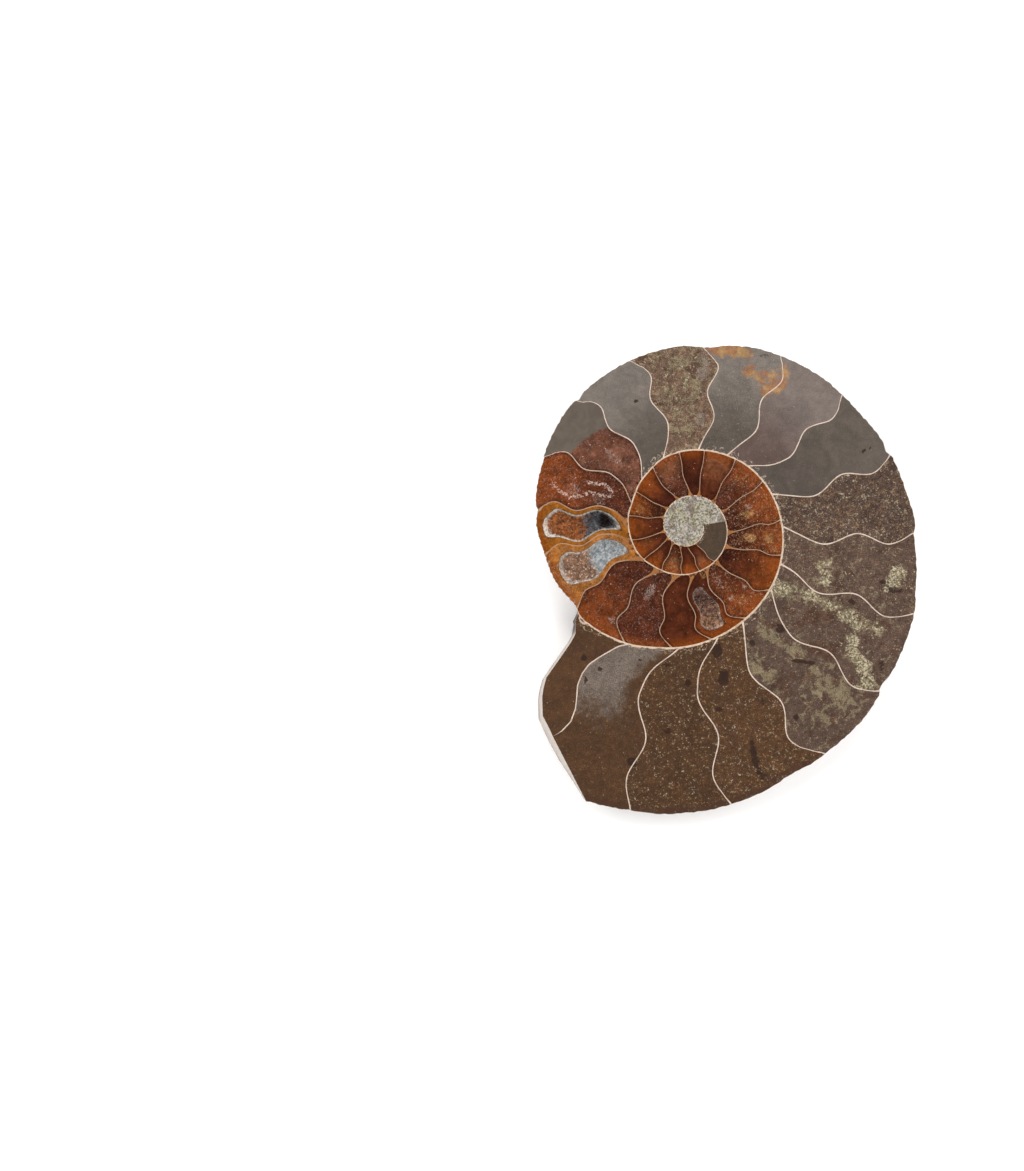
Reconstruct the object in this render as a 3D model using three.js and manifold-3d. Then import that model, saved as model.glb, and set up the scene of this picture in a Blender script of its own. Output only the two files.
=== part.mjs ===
// Half of an ammonite fossil, sawn along its middle plane, polished on the cut and laid on its flank.
// Millimetres, +Z up: the crest of the flank rests on z = 0 and the polished cut face looks up.
// Winding angles are in degrees from +X, counter-clockwise, and grow from the mouth towards the core.
import * as THREE from "three";
import { mergeVertices } from "three/addons/utils/BufferGeometryUtils.js";
import Module from "manifold-3d";

// Driving dimensions of the spiral
const RIM_RADIUS = 53.83; // pole to rim at winding angle 0
const GROWTH = 0.1405; // shrink of the radius for each radian of winding
const TURN = 360;
const OUTER_POLE = [-9.66, 12.02];
const INNER_POLE = [-8.9, 12.48];
const DRIFT_START = 200; // the pole moves from the outer to the inner one between these angles
const DRIFT_END = 450;
const NOTCH_ANGLE = 217; // the rim runs from the notch under the mouth
const CORNER_ANGLE = -110; // to the lower corner of the mouth

// Driving dimensions of the body
const THICKNESS = 12.5; // crest of the flank to the cut face
const RIM_LAND = 1; // upright edge of the rim under the cut face
const CREST = 0.45; // where the flank is thickest, as a share of the rim radius
const SHOULDER = 0.26; // edge of the umbilicus, as a share of the rim radius
const UMBILICUS = 0.1; // foot of its wall
const SHOULDER_DROP = 0.07; // how much lower the shoulder is than the crest, as a share
const FLANK_POWER = 2.3;
const VENTER_POWER = 0.62;
const WHORL_STEP = 0.62; // depth of each whorl beside the one outside it
const THINNING_START = 80; // from this winding angle to the notch the flank thins by that step
const WHORLS_SEEN = 4; // whorls that show in the umbilicus
const CENTRE = [-9.4, 12.2];

// Worn rim: winding angle and how far the rim stands out from the even spiral there
const RIM_WEAR = [
  [-110, -1.9], [-103, -1.7], [-92, -0.5], [-84, 0], [-74, 0], [-67, -0.6], [-60, 0.1], [-46, 0.8],
  [-41, 0.6], [-39, -0.2], [-34, 0.5], [-20, 0.8], [-14, 0.1], [-2, -0.3], [2, 0.4], [10, 0],
  [19, 0.1], [21, -0.6], [24, -0.1], [34, -0.5], [41, -0.3], [46, 0], [69, 0], [76, -0.4],
  [82, -1.1], [93, -0.1], [110, 0.2], [127, 0.4], [129, 0], [132, 0.6], [150, 0.3], [155, 0],
  [170, 0.1], [173, -0.4], [178, 0.1], [190, -0.3], [202, 0], [214, -0.4], [222, 0.9], [242, 0.8],
  [258, 0.2], [300, -0.1],
];

// Ground mouth: corners of the cut face from the lower corner up to the nose by the notch, each with
// how much further out the foot of the ground facet stands
const MOUTH = [
  { corner: [-32.9, -52], flare: 0.3 },
  { corner: [-43, -32.4], flare: 1.7 },
  { corner: [-43.2, -27.5], flare: 1.4 },
  { corner: [-42.2, -22.8], flare: 1.2 },
  { corner: [-35.4, -12.4], flare: 1 },
  { corner: [-35.3, -10.1], flare: 0.3 },
  { corner: [-35.9, -9], flare: 0.2 },
];

// Open chambers: the septa on either side, the share of the whorl's height they reach from and to, the
// share of the chamber's width left standing on each side, and the depth at the inner and outer end
const HOLLOWS = [
  { crust: "crystal_crust_1", septa: [171.1, 189.6], lean: 0, reach: [0.06, 0.95], margin: 0.1, depths: [6.2, 3] },
  { crust: "crystal_crust_2", septa: [189.6, 212.4], lean: 0, reach: [0.06, 0.92], margin: 0.12, depths: [4.6, 2.8] },
  { crust: "crystal_crust_3", septa: [275.6, 295.6], lean: 8, reach: [0.2, 0.91], margin: 0.14, depths: [3.6, 3.2] },
];
const HOLLOW_EDGE = 1.6; // upright wall of a hollow under the cut face
const HOLLOW_ROUNDING = 3; // how square the ends of a hollow are
const HOLLOW_CELLS = [6, 14]; // cells across and along a hollow
const CRUST_GAP = 0.3; // between a crust and the wall of its hollow
const CRUST_SINK = 0.3; // edge of a crust under the cut face
const CRUST_THICKNESS = 0.8;
const CRYSTAL_HEIGHTS = [0.35, 1.1];

// Sideways swing of a septum along its height, in degrees of winding
const SEPTUM_SWING = 2.2;
const SWING_FOOT = 0.25;
const SWING_LENGTH = 0.62;
const RIM_FLARE = 2.5;
const RIM_FLARE_START = 0.6;
const SEPTUM_MIDDLE = 4.4; // swing at the height at which the angles of the septa are given

// Resolution
const RIM_COLUMNS = 115;
const MOUTH_STEP = 2.6;
const BACK_RINGS = [
  1, 0.985, 0.955, 0.91, 0.85, 0.77, 0.69, 0.62, 0.56, 0.5, 0.45, 0.4, 0.36, 0.32, 0.28, 0.24, 0.2, 0.17, 0.14,
  0.115, 0.09, 0.07, 0.05, 0.03,
];

function radians(degrees) {
  return (degrees * Math.PI) / 180;
}

function mix(a, b, share) {
  return a + (b - a) * share;
}

function smooth(low, high, value) {
  const share = Math.min(1, Math.max(0, (value - low) / (high - low)));
  return share * share * (3 - 2 * share);
}

function scatter(index) {
  const wave = Math.sin(index * 12.9898) * 43758.5453;
  return wave - Math.floor(wave);
}

function wear(angle) {
  const last = RIM_WEAR.length - 1;
  if (angle <= RIM_WEAR[0][0]) return RIM_WEAR[0][1];
  if (angle >= RIM_WEAR[last][0]) return RIM_WEAR[last][1];
  const after = RIM_WEAR.findIndex((entry) => entry[0] > angle);
  const [startAngle, startValue] = RIM_WEAR[after - 1];
  const [endAngle, endValue] = RIM_WEAR[after];
  return mix(startValue, endValue, smooth(startAngle, endAngle, angle));
}

function evenRadius(angle) {
  return RIM_RADIUS * Math.exp(-GROWTH * radians(angle));
}

function whorlPoint(angle) {
  const share = Math.min(1, Math.max(0, (angle - DRIFT_START) / (DRIFT_END - DRIFT_START)));
  const radius = evenRadius(angle) + wear(angle);
  return [
    mix(OUTER_POLE[0], INNER_POLE[0], share) + radius * Math.cos(radians(angle)),
    mix(OUTER_POLE[1], INNER_POLE[1], share) + radius * Math.sin(radians(angle)),
  ];
}

// A point of the cut face, by winding angle and by its share of the whorl's height
function facePoint(angle, height) {
  const outer = whorlPoint(angle);
  const inner = whorlPoint(angle + TURN);
  return [mix(inner[0], outer[0], height), mix(inner[1], outer[1], height)];
}

function septumSwing(height, lean) {
  const wave = SEPTUM_SWING * (1 - Math.cos((2 * Math.PI * (height - SWING_FOOT)) / SWING_LENGTH));
  const flare = Math.max(0, (height - RIM_FLARE_START) / (1 - RIM_FLARE_START));
  return wave + RIM_FLARE * flare * flare + lean * (height - 0.5) - SEPTUM_MIDDLE;
}

// Depth of the flank under the cut face for one whorl, as a share of its thickest
function flankShare(share) {
  if (share >= CREST) {
    const out = Math.min(1, (share - CREST) / (1 - CREST));
    return Math.pow(1 - Math.pow(out, FLANK_POWER), VENTER_POWER);
  }
  const shoulder = 1 - SHOULDER_DROP * Math.pow((CREST - share) / (CREST - SHOULDER), 2);
  return share >= SHOULDER ? shoulder : shoulder * smooth(UMBILICUS, SHOULDER, share);
}

// Depth of the whole flank under the cut face, where each whorl is covered in part by the next
function flankDepth(share, angle) {
  const wider = Math.exp(GROWTH * 2 * Math.PI);
  const thinned = THICKNESS * Math.pow(WHORL_STEP, smooth(THINNING_START, NOTCH_ANGLE, angle));
  let deepest = 0;
  for (let whorl = 0; whorl < WHORLS_SEEN; whorl += 1) {
    const own = Math.min(1, share * Math.pow(wider, whorl));
    deepest = Math.max(deepest, Math.pow(WHORL_STEP, whorl) * flankShare(own));
  }
  const least = Math.pow(WHORL_STEP, WHORLS_SEEN - 1);
  return RIM_LAND + (thinned - RIM_LAND) * (share < UMBILICUS ? Math.max(deepest, least) : deepest);
}

// Outline of the cut face: the worn rim, then the ground facets of the mouth
function outlineColumns() {
  const columns = [];
  for (let step = 0; step <= RIM_COLUMNS; step += 1) {
    const angle = mix(NOTCH_ANGLE, CORNER_ANGLE, step / RIM_COLUMNS);
    columns.push({ point: whorlPoint(angle), angle, edge: 1, flare: 0 });
  }
  for (let index = 0; index < MOUTH.length; index += 1) {
    const start = MOUTH[index];
    const end = MOUTH[Math.min(index + 1, MOUTH.length - 1)];
    const length = Math.hypot(end.corner[0] - start.corner[0], end.corner[1] - start.corner[1]);
    const parts = Math.max(1, Math.round(length / MOUTH_STEP));
    for (let part = 0; part < parts; part += 1) {
      const share = part / parts;
      const x = mix(start.corner[0], end.corner[0], share);
      const y = mix(start.corner[1], end.corner[1], share);
      const turned = (Math.atan2(y - CENTRE[1], x - CENTRE[0]) * 180) / Math.PI;
      const angle = turned > 0 ? turned - TURN : turned;
      const edge = Math.hypot(x - CENTRE[0], y - CENTRE[1]) / (evenRadius(angle) + wear(angle));
      const flare = mix(start.flare, end.flare, share);
      columns.push({ point: [x, y], angle, edge: Math.min(edge, 1), flare });
    }
  }
  return columns;
}

function meshGeometry(positions, triangles) {
  const geometry = new THREE.BufferGeometry();
  geometry.setAttribute("position", new THREE.Float32BufferAttribute(positions, 3));
  geometry.setIndex(triangles);
  return geometry;
}

// The body: a flat fan on top, an upright or ground edge, and rings of flank down to the umbilicus
function bodyGeometry() {
  const columns = outlineColumns();
  const count = columns.length;
  const positions = [CENTRE[0], CENTRE[1], THICKNESS];
  const triangles = [];
  for (const column of columns) {
    positions.push(column.point[0], column.point[1], THICKNESS);
  }
  for (const ring of BACK_RINGS) {
    for (const column of columns) {
      const x = column.point[0] - CENTRE[0];
      const y = column.point[1] - CENTRE[1];
      const stretch = ring * (1 + (column.flare * ring) / Math.hypot(x, y));
      const depth = flankDepth(ring * column.edge, column.angle);
      positions.push(CENTRE[0] + x * stretch, CENTRE[1] + y * stretch, THICKNESS - depth);
    }
  }
  const foot = positions.length / 3;
  positions.push(CENTRE[0], CENTRE[1], THICKNESS - flankDepth(0, NOTCH_ANGLE));
  for (let column = 0; column < count; column += 1) {
    const next = (column + 1) % count;
    triangles.push(0, 1 + next, 1 + column);
    for (let ring = 0; ring < BACK_RINGS.length; ring += 1) {
      const upper = 1 + ring * count;
      const lower = upper + count;
      triangles.push(upper + column, upper + next, lower + next);
      triangles.push(upper + column, lower + next, lower + column);
    }
    const last = 1 + BACK_RINGS.length * count;
    triangles.push(last + column, last + next, foot);
  }
  return meshGeometry(positions, triangles);
}

// A point of a hollow's plan. Across and along run from -1 to 1, and inset is a share of its width
function hollowPoint(hollow, across, along, inset) {
  const rounding = Math.pow(1 - Math.pow(Math.abs(along) * 0.985, HOLLOW_ROUNDING), 1 / HOLLOW_ROUNDING);
  const middle = (hollow.reach[0] + hollow.reach[1]) / 2;
  const half = (hollow.reach[1] - hollow.reach[0]) / 2;
  const height = middle + half * along * (1 - inset * 0.5);
  const share = 0.5 + (0.5 - hollow.margin) * across * rounding * (1 - inset);
  const angle = mix(hollow.septa[0], hollow.septa[1], share) + septumSwing(height, hollow.lean);
  return facePoint(angle, height);
}

function hollowDepth(hollow, across, along) {
  const deepest = mix(hollow.depths[0], hollow.depths[1], (along + 1) / 2);
  const bowl = Math.pow(1 - across * across, 0.7) * (1 - Math.pow(Math.abs(along), 4));
  return HOLLOW_EDGE + (deepest - HOLLOW_EDGE) * bowl;
}

// A closed body over a hollow's plan, with an upper and a lower face given as heights. With peaks, each
// cell of the upper face rises to a point like a crystal
function hollowGeometry(hollow, inset, upperHeight, lowerHeight, peaks) {
  const [wide, long] = HOLLOW_CELLS;
  const positions = [];
  const triangles = [];
  const row = wide + 1;
  const level = row * (long + 1);
  for (const height of [upperHeight, lowerHeight]) {
    for (let j = 0; j <= long; j += 1) {
      for (let i = 0; i <= wide; i += 1) {
        const across = (2 * i) / wide - 1;
        const along = (2 * j) / long - 1;
        const [x, y] = hollowPoint(hollow, across, along, inset);
        positions.push(x, y, height(across, along));
      }
    }
  }
  for (let j = 0; j < long; j += 1) {
    for (let i = 0; i < wide; i += 1) {
      const a = j * row + i;
      const cell = [a, a + 1, a + 1 + row, a + row];
      if (peaks) {
        const across = (2 * (i + mix(0.3, 0.7, scatter(a)))) / wide - 1;
        const along = (2 * (j + mix(0.3, 0.7, scatter(a + level)))) / long - 1;
        const [x, y] = hollowPoint(hollow, across, along, inset);
        const rise = mix(CRYSTAL_HEIGHTS[0], CRYSTAL_HEIGHTS[1], scatter(a + 2 * level));
        const top = Math.min(upperHeight(across, along) + rise, THICKNESS - CRUST_SINK);
        const peak = positions.length / 3;
        positions.push(x, y, top);
        for (let side = 0; side < 4; side += 1) {
          triangles.push(cell[side], cell[(side + 1) % 4], peak);
        }
      } else {
        triangles.push(cell[0], cell[1], cell[2], cell[0], cell[2], cell[3]);
      }
      triangles.push(level + cell[0], level + cell[2], level + cell[1]);
      triangles.push(level + cell[0], level + cell[3], level + cell[2]);
    }
  }
  const border = [];
  for (let i = 0; i < wide; i += 1) border.push(i);
  for (let j = 0; j < long; j += 1) border.push(j * row + wide);
  for (let i = wide; i > 0; i -= 1) border.push(long * row + i);
  for (let j = long; j > 0; j -= 1) border.push(j * row);
  for (let step = 0; step < border.length; step += 1) {
    const here = border[step];
    const next = border[(step + 1) % border.length];
    triangles.push(here, level + here, level + next);
    triangles.push(here, level + next, next);
  }
  return meshGeometry(positions, triangles);
}

function signedVolume(geometry) {
  const position = geometry.getAttribute("position");
  const index = geometry.getIndex().array;
  const corner = [new THREE.Vector3(), new THREE.Vector3(), new THREE.Vector3()];
  let total = 0;
  for (let at = 0; at < index.length; at += 3) {
    corner.forEach((vector, side) => vector.fromBufferAttribute(position, index[at + side]));
    total += corner[0].dot(corner[1].clone().cross(corner[2])) / 6;
  }
  return total;
}

// Turns a closed mesh to face outwards
function facingOut(geometry) {
  if (signedVolume(geometry) < 0) {
    const index = geometry.getIndex().array;
    for (let at = 0; at < index.length; at += 3) {
      [index[at + 1], index[at + 2]] = [index[at + 2], index[at + 1]];
    }
  }
  return geometry;
}

const wasm = await Module();
wasm.setup();

function toManifold(geometry) {
  const merged = mergeVertices(geometry);
  const mesh = new wasm.Mesh({
    numProp: 3,
    vertProperties: new Float32Array(merged.getAttribute("position").array),
    triVerts: new Uint32Array(merged.getIndex().array),
  });
  return new wasm.Manifold(mesh);
}

function toGeometry(manifold) {
  const mesh = manifold.getMesh();
  return meshGeometry(Array.from(mesh.vertProperties), Array.from(mesh.triVerts));
}

function addPiece(group, name, geometry, colour, roughness) {
  const material = new THREE.MeshStandardMaterial({ color: colour, roughness });
  const flat = geometry.toNonIndexed();
  flat.computeVertexNormals();
  const piece = new THREE.Mesh(flat, material);
  piece.name = name;
  group.add(piece);
}

const group = new THREE.Group();
group.name = "ammonite_fossil_half";

let body = toManifold(facingOut(bodyGeometry()));
for (const hollow of HOLLOWS) {
  const above = () => THICKNESS + 1;
  const floor = (across, along) => THICKNESS - hollowDepth(hollow, across, along);
  body = body.subtract(toManifold(facingOut(hollowGeometry(hollow, 0, above, floor, false))));
}
addPiece(group, "ammonite_half", toGeometry(body), 0x6f6258, 0.3);

for (const hollow of HOLLOWS) {
  const width = (evenRadius(hollow.septa[0]) * radians(hollow.septa[1] - hollow.septa[0])) / 4;
  const inset = CRUST_GAP / width + 0.04;
  const floor = (across, along) => THICKNESS - hollowDepth(hollow, across, along) + 1.5 * CRUST_GAP;
  const face = (across, along) => {
    const sunk = THICKNESS - CRUST_SINK - (hollowDepth(hollow, across, along) - HOLLOW_EDGE);
    return Math.max(sunk, floor(across, along) + CRUST_THICKNESS);
  };
  addPiece(group, hollow.crust, facingOut(hollowGeometry(hollow, inset, face, floor, true)), 0xd9cfc4, 0.4);
}

export default group;
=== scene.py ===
"""Dresses the half of an ammonite fossil: polished cut face, ground mouth, outer flank and crystal crusts.

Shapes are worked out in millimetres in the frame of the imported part: +Z up, the polished cut face on top.
Winding angles are in degrees from +X, counter-clockwise, and grow from the mouth towards the core.
"""

import math

import bpy
import numpy as np
from bpy.props import FloatProperty, FloatVectorProperty, IntProperty, PointerProperty
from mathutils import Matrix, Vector


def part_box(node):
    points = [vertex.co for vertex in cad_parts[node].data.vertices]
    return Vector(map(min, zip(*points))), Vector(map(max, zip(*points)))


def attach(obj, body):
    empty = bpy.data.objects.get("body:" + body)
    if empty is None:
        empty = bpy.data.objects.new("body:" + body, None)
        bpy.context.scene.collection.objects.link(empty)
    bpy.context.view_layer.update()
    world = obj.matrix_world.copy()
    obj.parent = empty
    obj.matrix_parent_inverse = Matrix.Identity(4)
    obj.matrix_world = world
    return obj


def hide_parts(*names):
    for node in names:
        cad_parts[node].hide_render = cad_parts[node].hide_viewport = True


bl_info = {
    "name": "Ammonite Fossil Half",
    "version": (1, 0, 0),
    "blender": (4, 5, 0),
    "location": "View3D > Sidebar > Fossil",
    "description": "Builds the polished half of an ammonite fossil on its packed frame",
    "category": "Add Mesh",
}

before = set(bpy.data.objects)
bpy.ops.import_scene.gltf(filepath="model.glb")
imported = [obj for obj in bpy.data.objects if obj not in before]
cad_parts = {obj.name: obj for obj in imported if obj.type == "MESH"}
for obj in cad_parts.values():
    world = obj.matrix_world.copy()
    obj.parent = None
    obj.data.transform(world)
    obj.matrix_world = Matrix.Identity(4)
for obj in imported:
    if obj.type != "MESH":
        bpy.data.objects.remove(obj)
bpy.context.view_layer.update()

MM = 0.001
TURN = 360.0
BODY_NODE = "ammonite_half"
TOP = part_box(BODY_NODE)[1][2] / MM

# Spiral of the shell
OUTER_POLE = np.array((-9.66, 12.02))
INNER_POLE = np.array((-8.9, 12.48))
DRIFT = (200.0, 450.0)
NOTCH = 218.6
CORE_START = 728.0
TIGHTENING_START = 450.0
TIGHTENING = 0.0055
# Degrees past the notch over which the chips of the rim fade, and angles between which the wall sets in
CHIP_FADE = 30.0
WALL_START = (NOTCH - 2.0, NOTCH + 4.0)
WALL_THINNING = 0.085
NEWTON_STEPS = 20

# Worn rim and inner walls: winding angle, and how far out of the even spiral the rim stands there
RIM_WEAR = (
    (-110, -1.9), (-103, -1.7), (-92, -0.5), (-84, 0), (-74, 0), (-67, -0.6), (-60, 0.1), (-46, 0.8),
    (-41, 0.6), (-39, -0.2), (-34, 0.5), (-20, 0.8), (-14, 0.1), (-2, -0.3), (2, 0.4), (10, 0),
    (19, 0.1), (21, -0.6), (24, -0.1), (34, -0.5), (41, -0.3), (46, 0), (69, 0), (76, -0.4),
    (82, -1.1), (93, -0.1), (110, 0.2), (127, 0.4), (129, 0), (132, 0.6), (150, 0.3), (155, 0),
    (170, 0.1), (173, -0.4), (178, 0.1), (190, -0.3), (202, 0), (214, -0.4), (222, 0.9), (242, 0.8),
    (258, 0.2), (300, -0.1), (340, 0.1), (400, 0.2), (430, 0), (468, 0.2), (490, -0.4), (514, -0.7),
    (535, -0.15), (571, 0.15), (590, -0.2), (640, -0.1), (690, 0.1), (1100, 0),
)

# Septa of the outer whorl: winding angle, and the swing in degrees at the foot and at the rim
OUTER_SEPTA = (
    (-100.6, 7, -0.4), (-81.0, 7, 0.5), (-61.1, 2, 3), (-40.8, 4.5, 1), (-21.2, 0, 0.8), (-1.8, 2.2, 0.7),
    (19.0, 2.2, 0.8), (39.4, 5.5, 1), (59.5, 1.5, 1.5), (81.2, 1, 3), (105.6, 4, 2.5), (127.7, 6, 2.5),
    (150.1, 7, 3), (171.1, 7, 2), (189.6, 7, 1),
)
OUTER_SWING = ((0, 0.1, 0.27, 0.57, 0.8, 1), (-1.2, -4.9, 0, -2.6))
# Septa further in: winding angle, and the swing in degrees at the foot and at the rim
MIDDLE_SEPTA = (
    (212.4, 1, 4), (233.6, 2, 8), (256.1, 0, 7), (275.6, 0, 7),
    (295.6, -2, 7.5), (317.4, -9, 5.5), (342.2, -10, 1.5), (362.6, -11, 2),
)
MIDDLE_SWING = ((0, 0.25, 0.6, 0.78, 1), (-5.8, 0, -0.6))
INNER_SEPTA = (
    (388.9, -6, 2.4), (412.4, -8, 2.5), (436.6, -5.5, 1.3), (455.6, -9.5, 1.3), (481.5, -10, -0.8),
    (505.3, -6, 0.7), (528, -9.5, 1.5), (554.1, -3.2, -1), (575.4, -5, 1), (595.4, -8.7, 3.3),
    (619.3, -11, 3.3), (641.1, -13, 3.2), (662.8, -9, 4.4),
)
INNER_SWING = ((0, 0.45, 0.75, 1), (0, 0.3))
# Widening of the septa at the foot and at the rim, as shares of the whorl's height
FIRST_CALCITE_SEPTUM = 160.0
SILT_FILLETS = (0.006, 0.003)
CALCITE_FILLETS = (0.065, 0.014)
FILLET_LENGTH = 0.055
# Septa thin inwards for each radian, and to half at the rim and at the foot between these heights
SEPTUM_THINNING = 0.07
THIN_RIM = (0.7, 1.0)
THIN_FOOT = (0.0, 0.14)
# The last septum's rise above the wall from its foot to its end, and the rows over which it tapers out
LAST_SEPTUM_RISE = 0.02
LAST_SEPTUM_TAPER = 4.0

# Mouth: edge of the cut face from the notch to the lower corner, how far the foot of the ground facet
# stands out there, where the brown nose by the notch ends, and the last septum, which ends on the facet
FACET_EDGE = (
    (-35.9, -9.0, 0.2), (-35.3, -10.1, 0.3), (-35.4, -12.8, 1.0), (-36.6, -14.9, 1.4), (-39.5, -19.1, 1.6),
    (-42.2, -22.9, 1.3), (-42.9, -25.4, 1.3), (-43.2, -27.5, 1.4), (-43.1, -31.9, 1.5), (-41.4, -35.2, 1.7),
)
NOSE_LINE = (-13.2, -11.4)
LOWER_FACET = ((-40.7, -36.8, 1.7), (-38.3, -41.5, 1.6), (-36.0, -46.0, 1.0), (-32.9, -52.0, 0.3))
LAST_SEPTUM = (
    (-22.1, -14.8), (-25.5, -15.7), (-29.7, -18.1), (-32.2, -19.8), (-33.8, -22.0), (-34.9, -24.7),
    (-35.1, -27.7), (-35.4, -30.3), (-36.5, -33.3), (-38.6, -35.5), (-40.7, -36.8),
)

# Crystal-lined hollows: chamber, share of the whorl's height they reach from and to, share of the chamber
# left standing on each side, depth at the inner and outer end, where along it the second colour and the
# painted shade of the deep begin and are full, how frosted, sugary and sparkling the crystals are, and
# colours and names
HOLLOWS = (
    {"chamber": 15, "reach": (0.06, 0.95), "margin": 0.1, "depths": (6.2, 3.0), "seed": 11,
     "second": (0.4, -0.55), "deep": (-0.3, -0.6),
     "frost": 1.02, "sugar": 0.95, "sparkle": (0.5, 1.5), "colours": ("brown_crystal", "slate_crystal"),
     "node": "crystal_crust_1", "name": "brown_crystal_crust", "slot": "crystal_brown"},
    {"chamber": 16, "reach": (0.06, 0.92), "margin": 0.12, "depths": (4.6, 2.8), "seed": 23,
     "second": (-0.2, 0.3), "deep": (0.2, -1.9),
     "frost": 0.8, "sugar": 0.55, "sparkle": (0.75, 1.25), "colours": ("white_crystal", "blush_crystal"),
     "node": "crystal_crust_2", "name": "white_crystal_crust", "slot": "crystal_white"},
    {"chamber": 20, "reach": (0.2, 0.91), "margin": 0.14, "depths": (3.6, 3.2), "seed": 37,
     "second": (-1.2, 1.2), "deep": (1.0, -2.2),
     "frost": 0.89, "sugar": 0.15, "sparkle": (0.45, 1.5), "colours": ("rose_crystal", "blush_crystal"),
     "node": "crystal_crust_3", "name": "rose_crystal_crust", "slot": "crystal_rose"},
)
HOLLOW_EDGE = 1.6
HOLLOW_LIP = (1.0, 0.9)
HOLLOW_ROUNDING = 3.0
BOWL_POWERS = (0.7, 4)
# Where the painted shade in the deep of a hollow ends and is full, as a share of the way from its middle to
# its edge
DEEP_SHADE_EDGE = (0.9, 0.6)
CRUST_INSET = 0.97
CRUST_SINK = 0.25
CRUST_CLEARANCE = 0.4
CRUST_THICKNESS = 0.7
CRUST_CELLS = (90, 170)
CRUST_TIP = 0.995
# Crystals: how crowded, ranges of size and slope, reach in radii, and how they shrink towards the edge
CRYSTAL_CROWDING = 3.4
CRYSTAL_SIZES = (0.45, 1.15)
CRYSTAL_SLOPES = (0.7, 1.4)
CRYSTAL_REACH = 1.5
CRYSTAL_SIDES = 4
CRYSTAL_EDGE = (1.02, 0.7)
SMALLEST_CRYSTAL = 0.3
MIDDLE_TONE = 0.5

# Flank of the other side: shares of the rim radius and of the thickness
RIM_LAND = 1.0
RIM_BEVEL = 0.12
CREST = 0.45
SHOULDER = 0.26
UMBILICUS = 0.1
SHOULDER_DROP = 0.07
FLANK_POWER = 2.3
VENTER_POWER = 0.62
WHORL_STEP = 0.62
THINNING_START = 80.0
WHORLS_SEEN = 4
FLANK_CENTRE = np.array((-9.4, 12.2))
RIB_BEND = 0.5
RIB_WAVES = 1.6
RIB_START = (0.2, 0.45)
RIB_END = (1.0, 0.93)
RIB_STRENGTH = (0.6, 0.4, 3.0)
BEVEL_LEAN = 0.6
SMALLEST_RING = 0.02
RING_CROWDING = 1.15
SHARP_EDGE = 32.0
WELD = 1e-4

# Resolution
ROWS = 64
MOUTH_ROWS = 40
CHAMBER_CELLS = {"outer": 24, "hollow": 40, "inner": 12}
FIRST_INNER_CHAMBER = 17
SIDE_ROWS = 6
FLANK_RINGS = 44
CORE_RINGS = 10
CORE_EDGE = 0.06
CORE_MIDDLE = 0.08
CORE_LEAST = 0.1

# Fill of each chamber from the mouth inwards: colour at the inner wall, colour at the rim, specks, sand
FILLS = (
    ("umber", "umber", 0.2, 0.3), ("umber", "umber", 0.4, 0.4), ("umber", "umber", 0.75, 0.5),
    ("umber", "umber", 0.8, 0.55), ("taupe", "taupe", 0.55, 0.45), ("taupe", "taupe", 0.65, 0.55),
    # Chambers eight to twelve go lighter from the inner wall to the rim.
    ("taupe", "taupe", 0.7, 0.6), ("taupe", "taupe", 1.0, 0.9), ("ash", "olive", 0.12, 0.08),
    ("mauve", "lilac", 0.15, 0.08), ("olive", "grey", 0.45, 0.15), ("ochre", "ochre", 0.85, 0.6),
    ("olive", "grey", 0.12, 0.08), ("cocoa", "cocoa", 0.1, 0.05),
    ("deep", "amber", 0, 0), ("gold", "gold", 0, 0), ("gold", "gold", 0, 0), ("deep", "amber", 0, 0),
    ("deep", "deep", 0, 0), ("deep", "deep", 0, 0), ("deep", "amber", 0, 0), ("deep", "amber", 0, 0),
    ("maroon", "amber", 0, 0), ("maroon", "amber", 0, 0), ("maroon", "amber", 0, 0), ("deep", "amber", 0, 0),
    ("deep", "tan", 0, 0), ("maroon", "deep", 0, 0), ("deep", "tan", 0, 0), ("maroon", "amber", 0, 0),
    ("maroon", "amber", 0, 0), ("deep", "amber", 0, 0), ("deep", "amber", 0, 0), ("deep", "amber", 0, 0),
    ("deep", "tan", 0, 0), ("deep", "amber", 0, 0), ("deep", "tan", 0, 0), ("mud", "mud", 0.15, 0.2),
)
# Chambers around the hollows, and the distance from their septa given to them so that no painted shadow shows
# along their septa
CLEAR_CHAMBERS = (15, 16)
SHADOWLESS_SEPTUM_GAP = 9.0
LAST_SILT_CHAMBER = 12
MIXED_CHAMBER = 13
# Heights between which a fill changes colour, and its lightness by chamber: middle, swing, step and phase
FILL_CHANGE = (0.15, 0.85)
FILL_TONE = (0.92, 0.08, 2.4, 0.7)
# Mud of the mixed chamber: height where it starts, how that climbs across, and its blur
MUD_START = 0.6
MUD_CLIMB = 0.16
MUD_BLUR = 0.05
# Dark rind along the rim: angles where it sets in and ends, and how deep it goes in millimetres
RIND_START = (-113.0, -109.0)
RIND_END = (-57.0, -66.0)
RIND_DEPTH = (1.7, 1.1)
# Soft edges in half-widths: where a mark, a spot and a streak end and where they are full
MARK_EDGE = (1.25, 0.45)
SPOT_EDGE = (1.3, 0.4)
STREAK_EDGE = (2.2, 0.3)

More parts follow.
